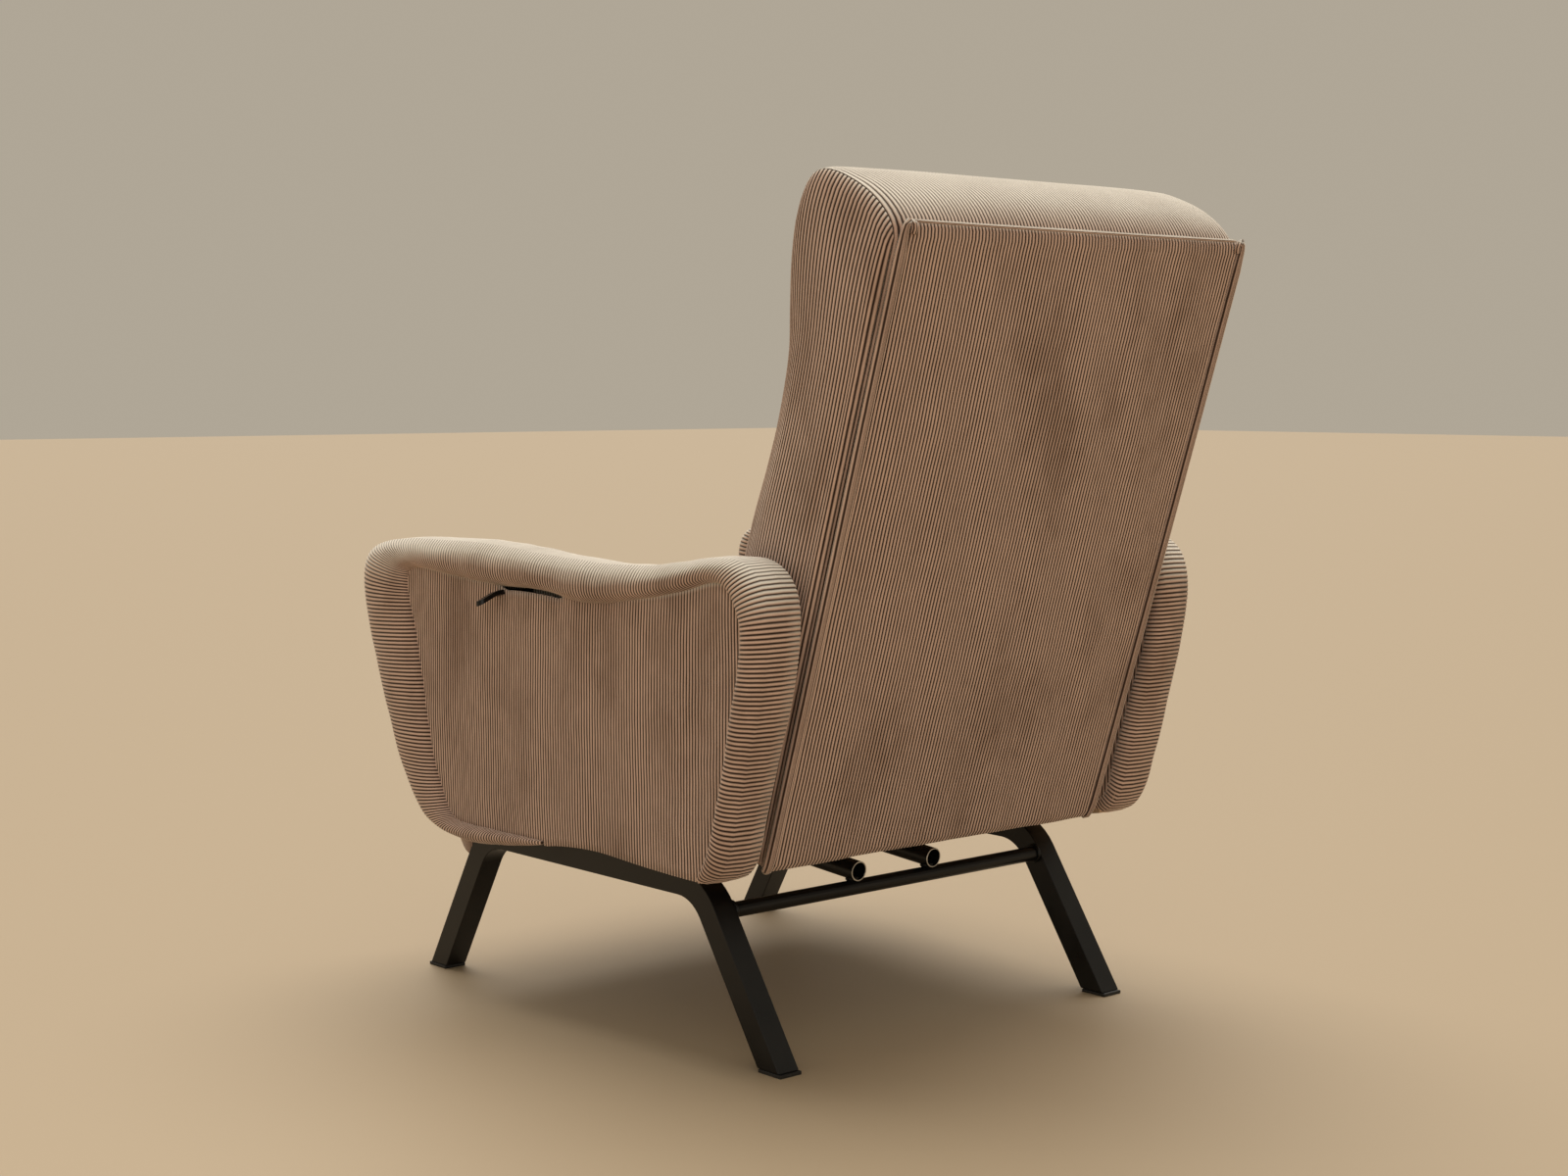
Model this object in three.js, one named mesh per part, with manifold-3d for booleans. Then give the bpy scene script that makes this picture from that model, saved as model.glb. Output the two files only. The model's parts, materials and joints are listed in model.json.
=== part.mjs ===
// Recliner armchair: a bent steel base, two upholstered arms, a reclining back that pushes the
// seat forward, a pull-out footrest on two rods, and a brake released by a lever in the left arm.
// Millimetres. +Z is up, -Y is the front, +X is the sitter's left, and z = 0 is the floor.
import * as THREE from "three";
import { mergeVertices } from "three/addons/utils/BufferGeometryUtils.js";
import Module from "manifold-3d";

const wasm = await Module();
wasm.setup();

// ---- Driving dimensions ----
const GAP = 0.3; // left between two pieces that touch
const DEPTH_CENTRE = 117.44; // from the datum of the Y values below to the middle of the chair

const TUBE = 30; // square side frame tube
const TUBE_WALL = 2;
const FRAME_X = 265; // middle of each side frame
const RAIL_Z = 190; // middle of the level rail
const BEND_RADIUS = 62;
const FRONT_FOOT_Y = -274;
const REAR_FOOT_Y = 382;
const FRONT_LEG_LEAN = 30; // degrees from vertical
const REAR_LEG_LEAN = 33.5;
const CAP_HEIGHT = 4;

const CROSS_TUBE_R = 9;
const REAR_CROSS = { y: 281, z: 162 };
const FRONT_CROSS_Y = -140;
const GUIDE_R = 12;
const GUIDE_BORE_R = 10.4;
const GUIDE_X = 61.5;
const GUIDE_REAR_Y = 291;
const GUIDE_FRONT_Y = -165;
const ROD_R = 9.6;
const ROD_REAR_Y = 262;

const SLOPE = THREE.MathUtils.degToRad(4.4); // the seat and the footrest slide up to the front
const BASE_RAIL_TOP = 285; // at the base rail's front end
const BASE_RAIL_Y = [-150, 212];
const RUNNER_THICK = 6;

const SEAT_X = 282;
const SEAT_FRONT_Y = -318;
const SEAT_REAR_Y = 288;
const SEAT_RAIL = { wide: 36, high: 34 };
const SEAT_CUSHION_REAR_Y = 272;
const SEAT_CUSHION_THICK = 84;

const FOOTREST_X = 272;
const FOOTREST_REAR_Y = -203;
const FOOTREST_BOTTOM_Z = 157;
const FOOTREST_HIGH = 118;
const FOOTREST_BOARD = 12;
const FOOTREST_TOE = 16; // its depth at the bottom
const FOOTREST_RAKE = 0.715; // how far its front leans out for each millimetre up

const ARM_IN_X = 288;
const PANEL_THICK = 4;
const ARM_PANEL_X = 338; // outer face of the outer panel
const ARM_OUT_X = 351;
const ROLL_THICK = 14;

const LEVER_PIVOT = { y: 22, z: 265 };
const LEVER_LEAN = THREE.MathUtils.degToRad(14); // forwards of vertical at rest
const LEVER_LENGTH = 247;
const LEVER_BAR = { wide: 14, thick: 5.5 };
const LEVER_OUT_X = 373;
const LEVER_BEND_X = 346;
const LEVER_DROOP = 0.42; // how far the handle falls for each millimetre beyond its bend
const LINK_RADIUS = 60; // from the lever's pivot, and from the cam's, to the pull rod's pins
const SLOT_HIGH = 17;

const PIVOT = { y: 330, z: 400 }; // the back's hinge on the arms
const CAM_PIVOT = { y: 256.2, z: 400 };
const SECTOR_R = 55;

const BACK_LEAN = THREE.MathUtils.degToRad(17.5); // back from vertical
const BACK_BASE = { y: 359, z: 241 }; // foot of the back's rear face
const BACK_X = 261.5;
const STILE = { wide: 28, near: 4, far: 44 };
const BACK_TOP_RAIL = [644, 688];
const BACK_BOTTOM_RAIL = [-18, 26];
const BACK_PANEL = { halfWidth: 268, rear: 8.5, low: -22, high: 708 };

// ---- Materials ----
function finish(colour, roughness, metalness = 0) {
  return new THREE.MeshStandardMaterial({ color: colour, roughness, metalness });
}
const BLACK_PAINT = finish(0x151414, 0.38, 0.2);
const BLACK_PLASTIC = finish(0x1c1b1b, 0.6);
const BARE_STEEL = finish(0x9b9a97, 0.35, 1);
const BEECH = finish(0xb58a5a, 0.65);
const CORDUROY = finish(0x8c7867, 0.95);
const BOARD = finish(0x8a6d4e, 0.85);
const WEBBING = finish(0x6a5a45, 0.9);

// ---- Solids ----
function solidOf(geometry) {
  const bare = geometry.clone();
  bare.deleteAttribute("normal");
  bare.deleteAttribute("uv");
  const merged = mergeVertices(bare, 1e-3);
  const mesh = new wasm.Mesh({
    numProp: 3,
    vertProperties: merged.attributes.position.array,
    triVerts: new Uint32Array(merged.index.array),
  });
  return new wasm.Manifold(mesh);
}

function geometryOf(solid) {
  const mesh = solid.getMesh();
  const geometry = new THREE.BufferGeometry();
  geometry.setAttribute("position", new THREE.BufferAttribute(mesh.vertProperties, 3));
  geometry.setIndex(new THREE.BufferAttribute(mesh.triVerts, 1));
  geometry.computeVertexNormals();
  return geometry;
}

function cut(geometry, ...tools) {
  return geometryOf(tools.reduce((left, tool) => left.subtract(solidOf(tool)), solidOf(geometry)));
}

function join(...geometries) {
  return geometryOf(geometries.map(solidOf).reduce((whole, next) => whole.add(next)));
}

function common(first, second) {
  return geometryOf(solidOf(first).intersect(solidOf(second)));
}

// A box between two corners.
function boxBetween([x0, y0, z0], [x1, y1, z1]) {
  const geometry = new THREE.BoxGeometry(x1 - x0, y1 - y0, z1 - z0);
  return geometry.translate((x0 + x1) / 2, (y0 + y1) / 2, (z0 + z1) / 2);
}

// A side outline of [y, z] points, extruded from x0 to x1. A bevel rounds both rims.
function sideExtrusion(outline, x0, x1, bevel = 0) {
  const shape = new THREE.Shape(outline.map(([y, z]) => new THREE.Vector2(y, z)));
  const geometry = new THREE.ExtrudeGeometry(shape, {
    depth: x1 - x0 - 2 * bevel,
    bevelEnabled: bevel > 0,
    bevelSize: bevel,
    bevelThickness: bevel,
    bevelOffset: -bevel,
    bevelSegments: 2,
  });
  const fromShapePlane = new THREE.Matrix4().makeBasis(
    new THREE.Vector3(0, 1, 0),
    new THREE.Vector3(0, 0, 1),
    new THREE.Vector3(1, 0, 0),
  );
  return geometry.applyMatrix4(fromShapePlane).translate(x0 + bevel, 0, 0);
}

// A round bar along X.
function barX(radius, x0, x1, y, z, sides = 20) {
  const geometry = new THREE.CylinderGeometry(radius, radius, Math.abs(x1 - x0), sides);
  return geometry.rotateZ(Math.PI / 2).translate((x0 + x1) / 2, y, z);
}

// A turned piece along X from a profile of [distance along X, radius] that starts and ends at radius 0.
function turnedX(profile, y, z, sides = 16) {
  const points = profile.map(([along, radius]) => new THREE.Vector2(radius, along));
  return new THREE.LatheGeometry(points, sides).rotateZ(-Math.PI / 2).translate(0, y, z);
}

// ---- Outlines ----
// A smooth closed outline through a few [y, z] points.
function smoothLoop(points, count) {
  const corners = points.map(([y, z]) => new THREE.Vector3(y, z, 0));
  const curve = new THREE.CatmullRomCurve3(corners, true, "centripetal");
  return curve.getSpacedPoints(count).slice(0, count).map((p) => [p.x, p.y]);
}

function smoothLine(points, count) {
  const curve = new THREE.SplineCurve(points.map(([y, z]) => new THREE.Vector2(y, z)));
  return curve.getSpacedPoints(count).map((p) => [p.x, p.y]);
}

// The same closed outline, moved in by a distance. The outline runs anticlockwise.
function inset(outline, distance) {
  return outline.map(([y, z], i) => {
    const before = outline.at(i - 1);
    const after = outline[(i + 1) % outline.length];
    const along = new THREE.Vector2(after[0] - before[0], after[1] - before[1]).normalize();
    return [y - along.y * distance, z + along.x * distance];
  });
}

// The two edges of a band of one thickness along a path of straight runs joined by round bends.
function bentBand(corners, radius, thickness) {
  const middle = [];
  const points = corners.map(([y, z]) => new THREE.Vector2(y, z));
  const start = points[1].clone().sub(points[0]).normalize();
  middle.push({ at: points[0], along: start });
  for (let i = 1; i < points.length - 1; i += 1) {
    const into = points[i].clone().sub(points[i - 1]).normalize();
    const out = points[i + 1].clone().sub(points[i]).normalize();
    const turn = Math.atan2(into.cross(out), into.dot(out));
    const back = radius * Math.tan(Math.abs(turn) / 2);
    const side = new THREE.Vector2(-into.y, into.x).multiplyScalar(Math.sign(turn) * radius);
    const centre = points[i].clone().addScaledVector(into, -back).add(side);
    const steps = 7;
    for (let k = 0; k <= steps; k += 1) {
      const angle = (turn * k) / steps;
      const spoke = side.clone().negate().rotateAround(new THREE.Vector2(), angle);
      const along = into.clone().rotateAround(new THREE.Vector2(), angle);
      middle.push({ at: centre.clone().add(spoke), along });
    }
  }
  const end = points.at(-1).clone().sub(points.at(-2)).normalize();
  middle.push({ at: points.at(-1), along: end });
  const edge = (offset) =>
    middle.map(({ at, along }) => [at.x - along.y * offset, at.y + along.x * offset]);
  return [...edge(-thickness / 2), ...edge(thickness / 2).reverse()];
}

// ---- The chair's groups ----
const chair = new THREE.Group();
// The lever stands out past the left arm, so the box's middle is a little to the left of the chair's.
const OFF_CENTRE_X = (LEVER_OUT_X - ARM_OUT_X) / 2;
chair.position.set(-OFF_CENTRE_X, -DEPTH_CENTRE, 0);

function add(name, geometry, material, parent = chair) {
  const mesh = new THREE.Mesh(geometry, material);
  mesh.name = name;
  parent.add(mesh);
  return mesh;
}

const SIDES = [
  ["left", 1],
  ["right", -1],
];

// The X span of a piece on one side, given the span that it has on the left.
function span(sign, near, far) {
  return sign > 0 ? [near, far] : [-far, -near];
}

// ---- Steel base ----
function sideFrames() {
  const lean = (degrees) => Math.tan(THREE.MathUtils.degToRad(degrees));
  const run = RAIL_Z - CAP_HEIGHT;
  const front = FRONT_FOOT_Y + lean(FRONT_LEG_LEAN) * CAP_HEIGHT;
  const rear = REAR_FOOT_Y - lean(REAR_LEG_LEAN) * CAP_HEIGHT;
  // The legs start below the floor and are then cut level above the caps.
  const deep = 60;
  const route = [
    [front - lean(FRONT_LEG_LEAN) * deep, CAP_HEIGHT - deep],
    [front + lean(FRONT_LEG_LEAN) * run, RAIL_Z],
    [rear - lean(REAR_LEG_LEAN) * run, RAIL_Z],
    [rear + lean(REAR_LEG_LEAN) * deep, CAP_HEIGHT - deep],
  ];
  const below = boxBetween([-400, -600, -200], [400, 700, CAP_HEIGHT + GAP]);
  for (const [side, sign] of SIDES) {
    const half = TUBE / 2;
    const hollow = half - TUBE_WALL;
    const outer = bentBand(route, BEND_RADIUS, TUBE);
    const inner = bentBand(route, BEND_RADIUS, 2 * hollow);
    const x = sign * FRAME_X;
    const tube = cut(
      sideExtrusion(outer, x - half, x + half),
      sideExtrusion(inner, x - hollow, x + hollow),
      below,
    );
    add(`side_frame_${side}`, tube, BLACK_PAINT);
    footCap("front", side, x, FRONT_FOOT_Y, FRONT_LEG_LEAN);
    footCap("rear", side, x, REAR_FOOT_Y, -REAR_LEG_LEAN);
  }
}

// A plastic cap: a sole under the tube's end and a plug inside it.
function footCap(end, side, x, y, lean) {
  const slant = Math.tan(THREE.MathUtils.degToRad(lean));
  const plug = 12.5;
  const plugLength = 20;
  const along = plug / Math.cos(THREE.MathUtils.degToRad(lean));
  const edge = (offset, z) => [y + offset + slant * z, z];
  const plugOutline = [
    edge(-along, CAP_HEIGHT / 2),
    edge(along, CAP_HEIGHT / 2),
    edge(along, CAP_HEIGHT + plugLength),
    edge(-along, CAP_HEIGHT + plugLength),
  ];
  const sole = boxBetween([x - 15.5, y - 18.5, 0], [x + 15.5, y + 18.5, CAP_HEIGHT]);
  const cap = join(sole, sideExtrusion(plugOutline, x - plug, x + plug));
  add(`foot_cap_${end}_${side}`, cap, BLACK_PLASTIC);
}

// Height of the guide tubes' axis at a distance along the chair.
function guideZ(y) {
  const resting = REAR_CROSS.z + CROSS_TUBE_R + (GUIDE_R + GAP) / Math.cos(SLOPE);
  return resting + (REAR_CROSS.y - y) * Math.tan(SLOPE);
}

function crossTubes() {
  const half = FRAME_X - TUBE / 2 - GAP;
  const frontZ = guideZ(FRONT_CROSS_Y) - (GUIDE_R + GAP) / Math.cos(SLOPE) - CROSS_TUBE_R;
  add("rear_cross_tube", barX(CROSS_TUBE_R, -half, half, REAR_CROSS.y, REAR_CROSS.z), BLACK_PAINT);
  add("front_cross_tube", barX(CROSS_TUBE_R, -half, half, FRONT_CROSS_Y, frontZ), BLACK_PAINT);
}

// A round bar along the slide direction, between two distances along the chair.
function slidingBar(radius, x, y0, y1) {
  const length = (y1 - y0) / Math.cos(SLOPE);
  const middle = (y0 + y1) / 2;
  const bar = new THREE.CylinderGeometry(radius, radius, length, 24);
  return bar.rotateX(-SLOPE).translate(x, middle, guideZ(middle));
}

function guideTubes() {
  for (const [side, sign] of SIDES) {
    const x = sign * GUIDE_X;
    const tube = slidingBar(GUIDE_R, x, GUIDE_FRONT_Y, GUIDE_REAR_Y);
    const bore = slidingBar(GUIDE_BORE_R, x, GUIDE_FRONT_Y - 20, GUIDE_REAR_Y + 20);
    add(`guide_tube_${side}`, cut(tube, bore), BLACK_PAINT);
  }
}

// Height of the base rails' sloping top face.
function baseRailTop(y) {
  return BASE_RAIL_TOP - (y - BASE_RAIL_Y[0]) * Math.tan(SLOPE);
}

const ARM_BOLTS = [
  { place: "front", y: -95, z: 233 },
  { place: "rear", y: 180, z: 242 },
];

function baseRails() {
  const [front, rear] = BASE_RAIL_Y;
  const bottom = RAIL_Z + TUBE / 2 + GAP;
  const outline = [
    [front, bottom],
    [rear, bottom],
    [rear, baseRailTop(rear)],
    [front, baseRailTop(front)],
  ];
  for (const [side, sign] of SIDES) {
    const [x0, x1] = span(sign, FRAME_X - TUBE / 2, ARM_IN_X - GAP);
    const holes = ARM_BOLTS.map(({ y, z }) => barX(4.3, x0 - 5, x1 + 5, y, z, 16));
    add(`base_rail_${side}`, cut(sideExtrusion(outline, x0, x1), ...holes), BEECH);
    const low = (y) => baseRailTop(y) + GAP;
    const strip = [
      [front, low(front)],
      [rear, low(rear)],
      [rear, low(rear) + RUNNER_THICK],
      [front, low(front) + RUNNER_THICK],
    ];
    const [r0, r1] = span(sign, 254, 276);
    add(`seat_runner_${side}`, sideExtrusion(strip, r0, r1), BLACK_PLASTIC);
  }
}

// ---- Arms ----
const ARM_OUTLINE = smoothLoop(
  [
    [-155, 200], [-60, 197], [40, 210], [150, 219], [260, 215], [352, 214],
    [386, 231], [403, 286], [432, 385], [451, 462], [446, 534], [404, 569],
    [340, 568], [266, 554], [160, 550], [14, 559], [-110, 564], [-235, 560],
    [-315, 547], [-343, 512], [-341, 462], [-310, 387], [-250, 266], [-205, 214],
  ],
  80,
);

// The border between the roll and the inset outer panel. Along the bottom it leaves the panel open.
const PANEL_OUTLINE = [
  [28, 150], [350, 150], [352, 236],
  ...smoothLine(
    [
      [357, 246], [375, 303], [396, 406], [411, 478], [398, 527], [365, 543], [304, 530], [203, 513],
      [85, 505], [-41, 513], [-150, 524], [-234, 525], [-246, 505], [-227, 432], [-188, 287],
      [-150, 221], [-100, 216], [27, 219],
    ],
    42,
  ),
];

// The outline of the wooden frame and the panels: inside the roll, and down to the cover's folded
// edge where the roll stops along the bottom.
const FOLD_Y = [28, 352];
function armCore(x0, x1, slack) {
  const body = sideExtrusion(inset(ARM_OUTLINE, ROLL_THICK - slack), x0, x1);
  const low = sideExtrusion(inset(ARM_OUTLINE, 3), x0, x1);
  const foldSpan = boxBetween([x0, FOLD_Y[0] - slack, 0], [x1, FOLD_Y[1] + slack, 260]);
  return join(body, common(low, foldSpan));
}

const HOLLOW = [
  [-288, 512], [-170, 262], [-140, 252], [352, 252], [376, 268], [411, 470], [404, 512], [385, 521],
  [-270, 521],
];

// The slot follows the arc of the release lever's tip.
function slotCutter(x0, x1, depth = SLOT_HIGH / 2) {
  const swing = LEVER_LEAN + THREE.MathUtils.degToRad(1.9);
  const arc = (radius, flip) =>
    Array.from({ length: 9 }, (_, i) => {
      const angle = (flip ? 1 : -1) * (swing - (2 * swing * i) / 8);
      return [LEVER_PIVOT.y + Math.sin(angle) * radius, LEVER_PIVOT.z + Math.cos(angle) * radius];
    });
  const low = arc(LEVER_LENGTH - depth, false);
  const high = arc(LEVER_LENGTH + SLOT_HIGH / 2, true);
  return sideExtrusion([...low, ...high], x0, x1);
}

function arms() {
  for (const [side, sign] of SIDES) {
    const isLeft = sign > 0;
    const wood = span(sign, ARM_IN_X + PANEL_THICK + GAP, ARM_PANEL_X - PANEL_THICK - GAP);
    const boltHoles = ARM_BOLTS.map(({ y, z }) => barX(4.3, sign * 240, sign * 325, y, z, 16));
    const ring = cut(
      armCore(...wood, 0),
      sideExtrusion(HOLLOW, wood[0] - 1, wood[1] + 1),
      ...boltHoles,
    );
    // Butt joints between the frame's members.
    const joint = { top: 521, front: -140, rear: 352 };
    const half = GAP / 2;
    const member = (low, high) => common(ring, boxBetween([-400, ...low], [400, ...high]));
    add(`arm_top_rail_${side}`, member([-500, joint.top + half], [600, 700]), BEECH);
    add(
      `arm_front_post_${side}`,
      member([-500, 0], [joint.front - half, joint.top - half]),
      BEECH,
    );
    add(`arm_rear_post_${side}`, member([joint.rear + half, 0], [600, joint.top - half]), BEECH);
    add(
      `arm_bottom_rail_${side}`,
      member([joint.front + half, 0], [joint.rear - half, joint.top - half]),
      BEECH,
    );
    const post = boxBetween(
      [wood[0], PIVOT.y - 22, 252 + GAP],
      [wood[1], PIVOT.y + 21, joint.top - GAP],
    );
    const pivotHole = barX(6.3, sign * 280, sign * 340, PIVOT.y, PIVOT.z);
    add(`arm_pivot_post_${side}`, cut(post, pivotHole), BEECH);

    const outer = span(sign, ARM_PANEL_X - PANEL_THICK, ARM_PANEL_X);
    const inner = span(sign, ARM_IN_X, ARM_IN_X + PANEL_THICK);
    const innerHoles = [pivotHole, ...boltHoles];
    if (isLeft) innerHoles.push(barX(6.4, 280, 300, CAM_PIVOT.y, CAM_PIVOT.z));
    const outerPanel = armCore(...outer, 0);
    const slot = slotCutter(ARM_PANEL_X - 20, ARM_PANEL_X + 20);
    const rollNotch = slotCutter(ARM_PANEL_X - 3, ARM_OUT_X + 20, 30);
    add(`arm_outer_panel_${side}`, isLeft ? cut(outerPanel, slot) : outerPanel, CORDUROY);
    add(`arm_inner_panel_${side}`, cut(armCore(...inner, 0), ...innerHoles), CORDUROY);

    const rollSpan = span(sign, ARM_IN_X, ARM_OUT_X);
    const core = span(sign, ARM_IN_X - 30, ARM_PANEL_X + GAP);
    const lip = span(sign, ARM_PANEL_X - 10, ARM_OUT_X + 30);
    const roll = cut(
      sideExtrusion(ARM_OUTLINE, ...rollSpan, 9),
      armCore(...core, GAP),
      sideExtrusion(PANEL_OUTLINE, ...lip),
      boxBetween([-400, FOLD_Y[0], 0], [400, FOLD_Y[1], 240]),
    );
    add(`arm_roll_${side}`, isLeft ? cut(roll, rollNotch) : roll, CORDUROY);

    for (const { place, y, z } of ARM_BOLTS) {
      const length = [
        [243, 0], [243, 8], [FRAME_X - TUBE / 2 - GAP, 8], [FRAME_X - TUBE / 2 - GAP, 4],
        [318, 4], [318, 0],
      ];
      const bolt = turnedX(length, y, z, 16);
      if (!isLeft) bolt.rotateZ(Math.PI).translate(0, 2 * y, 0);
      add(`arm_bolt_${place}_${side}`, bolt, BARE_STEEL);
    }
    pivotBolt(side, isLeft);
  }
}

// A shoulder bolt through the hinge plate and the arm's pivot post.
function pivotBolt(side, isLeft) {
  const profile = [
    [255, 0], [255, 12], [262 - GAP, 12], [262 - GAP, 6], [276 + GAP, 6], [276 + GAP, 12],
    [ARM_IN_X - GAP, 12], [ARM_IN_X - GAP, 6], [326, 6], [326, 0],
  ];
  const bolt = turnedX(profile, PIVOT.y, PIVOT.z);
  if (!isLeft) bolt.rotateZ(Math.PI).translate(0, 2 * PIVOT.y, 0);
  add(`pivot_bolt_${side}`, bolt, BARE_STEEL);
}

// ---- Release lever, pull rod and brake cam, in the left arm ----
const BLADE_X = [296, 299];
const PIN_X = 306;
const ROD_X = [BLADE_X[1] + 0.7, BLADE_X[1] + 4];

function polar(centre, radius, angle) {
  return [centre.y + Math.sin(angle) * radius, centre.z + Math.cos(angle) * radius];
}

// A flat bar between two points, with rounded ends.
function flatBar(from, to, width, x0, x1) {
  const along = new THREE.Vector2(to[0] - from[0], to[1] - from[1]);
  const base = along.angle();
  const arc = (centre, start) =>
    Array.from({ length: 9 }, (_, i) => {
      const angle = start + (Math.PI * i) / 8;
      return [
        centre[0] + (Math.cos(angle) * width) / 2,
        centre[1] + (Math.sin(angle) * width) / 2,
      ];
    });
  const outline = [...arc(to, base - Math.PI / 2), ...arc(from, base + Math.PI / 2)];
  return sideExtrusion(outline, x0, x1);
}

// Bends the part of the lever's handle that is outside the arm downwards.
function drooped(geometry) {
  const place = geometry.attributes.position;
  for (let i = 0; i < place.count; i += 1) {
    const beyond = Math.max(0, place.getX(i) - LEVER_BEND_X);
    place.setZ(i, place.getZ(i) - beyond * LEVER_DROOP);
  }
  return geometry;
}

function release() {
  const linkPin = polar(LEVER_PIVOT, LINK_RADIUS, -LEVER_LEAN);
  const camPin = polar(CAM_PIVOT, LINK_RADIUS, -LEVER_LEAN);
  const tip = polar(LEVER_PIVOT, LEVER_LENGTH - 2, -LEVER_LEAN);

  const blade = flatBar([LEVER_PIVOT.y, LEVER_PIVOT.z], tip, 14, ...BLADE_X);
  const handle = new THREE.BoxGeometry(
    LEVER_OUT_X - BLADE_X[0] - LEVER_BAR.wide / 2,
    LEVER_BAR.wide,
    LEVER_BAR.thick,
    12,
  );
  const handleEnd = new THREE.CylinderGeometry(
    LEVER_BAR.wide / 2,
    LEVER_BAR.wide / 2,
    LEVER_BAR.thick,
    24,
  ).rotateX(Math.PI / 2);
  handle.translate((LEVER_OUT_X - LEVER_BAR.wide / 2 + BLADE_X[0]) / 2, 0, LEVER_LENGTH);
  handleEnd.translate(LEVER_OUT_X - LEVER_BAR.wide / 2, 0, LEVER_LENGTH);
  const bent = join(drooped(handle), drooped(handleEnd))
    .rotateX(LEVER_LEAN)
    .translate(0, LEVER_PIVOT.y, LEVER_PIVOT.z);
  const leverPin = barX(4, BLADE_X[1] - 1, PIN_X, ...linkPin, 16);
  const hub = barX(5.4, BLADE_X[0] - 5, BLADE_X[1] + 5, LEVER_PIVOT.y, LEVER_PIVOT.z);
  add("release_lever", cut(join(blade, bent, leverPin), hub), BLACK_PAINT);

  const boltProfile = [
    [ARM_IN_X + PANEL_THICK + GAP, 0], [ARM_IN_X + PANEL_THICK + GAP, 10], [BLADE_X[0] - GAP, 10],
    [BLADE_X[0] - GAP, 5], [BLADE_X[1] + GAP, 5], [BLADE_X[1] + GAP, 9], [BLADE_X[1] + 4, 9],
    [BLADE_X[1] + 4, 0],
  ];
  add("lever_pivot_bolt", turnedX(boltProfile, LEVER_PIVOT.y, LEVER_PIVOT.z), BARE_STEEL);

  const rod = cut(
    join(
      flatBar(linkPin, camPin, 9, ...ROD_X),
      barX(8, ...ROD_X, ...linkPin),
      barX(8, ...ROD_X, ...camPin),
    ),
    barX(4.4, ROD_X[0] - 2, ROD_X[1] + 2, ...linkPin, 16),
    barX(4.4, ROD_X[0] - 2, ROD_X[1] + 2, ...camPin, 16),
  );
  add("pull_rod", rod, BARE_STEEL);

  // The cam's round lobe sits off its shaft, so turning it draws the rim away from the sector.
  const lobe = { radius: 12, offset: 6 };
  const cam = join(
    barX(lobe.radius, 272, 276, CAM_PIVOT.y + lobe.offset, CAM_PIVOT.z, 32),
    barX(6, 272, BLADE_X[1], CAM_PIVOT.y, CAM_PIVOT.z),
    flatBar([CAM_PIVOT.y, CAM_PIVOT.z], camPin, 14, ...BLADE_X),
    barX(4, BLADE_X[1] - 1, PIN_X, ...camPin, 16),
  );
  add("brake_cam", cam, BARE_STEEL);
}

// ---- Back ----
// The back's own frame: z runs up along the rear face and y is the distance behind it.
const back = new THREE.Group();
back.position.set(0, BACK_BASE.y, BACK_BASE.z);
back.rotation.x = -BACK_LEAN;
chair.add(back);

// A chair point in the back's own frame.
function inBack({ y, z }) {
  const moved = new THREE.Vector2(y - BACK_BASE.y, z - BACK_BASE.z);
  moved.rotateAround(new THREE.Vector2(), BACK_LEAN);
  return { y: moved.x, z: moved.y };
}

const BACK_FRONT = [
  [-128, 96], [-133, 150], [-134, 240], [-132, 328], [-124, 400], [-120.6, 456], [-124, 520],
  [-136, 565], [-149, 612], [-156, 655], [-155, 690], [-146, 716], [-126, 732], [-98, 737],
  [-66, 733], [-34, 720], [-10, 703], [-4, 693],
];

function backFrame() {
  const inner = BACK_X - STILE.wide;
  const near = -STILE.near;
  const far = -STILE.far;
  for (const [side, sign] of SIDES) {
    const [x0, x1] = span(sign, inner, BACK_X);
    const stile = boxBetween([x0, far, BACK_BOTTOM_RAIL[0]], [x1, near, BACK_TOP_RAIL[1]]);
    add(`back_stile_${side}`, stile, BEECH, back);
    hingePlate(side, sign);
  }
  const rails = [
    ["back_top_rail", BACK_TOP_RAIL],
    ["back_bottom_rail", BACK_BOTTOM_RAIL],
  ];
  for (const [name, [low, high]] of rails) {
    add(name, boxBetween([-inner + GAP, far, low], [inner - GAP, near, high]), BEECH, back);
  }
}

// Straps woven across a frame, as one mat in its own plane: runs of X by runs of the other axis.
function strapMat(halfX, from, to, columns, rows, strap, place) {
  const thick = 1.6;
  const straps = [];
  for (let i = 0; i < columns; i += 1) {
    const x = -halfX + strap / 2 + ((2 * halfX - strap) * i) / (columns - 1);
    straps.push(place([x - strap / 2, from, 0], [x + strap / 2, to, thick]));
  }
  for (let i = 0; i < rows; i += 1) {
    const at = from + strap / 2 + ((to - from - strap) * i) / (rows - 1);
    straps.push(place([-halfX, at - strap / 2, 0], [halfX, at + strap / 2, thick]));
  }
  return join(...straps);
}

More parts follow.
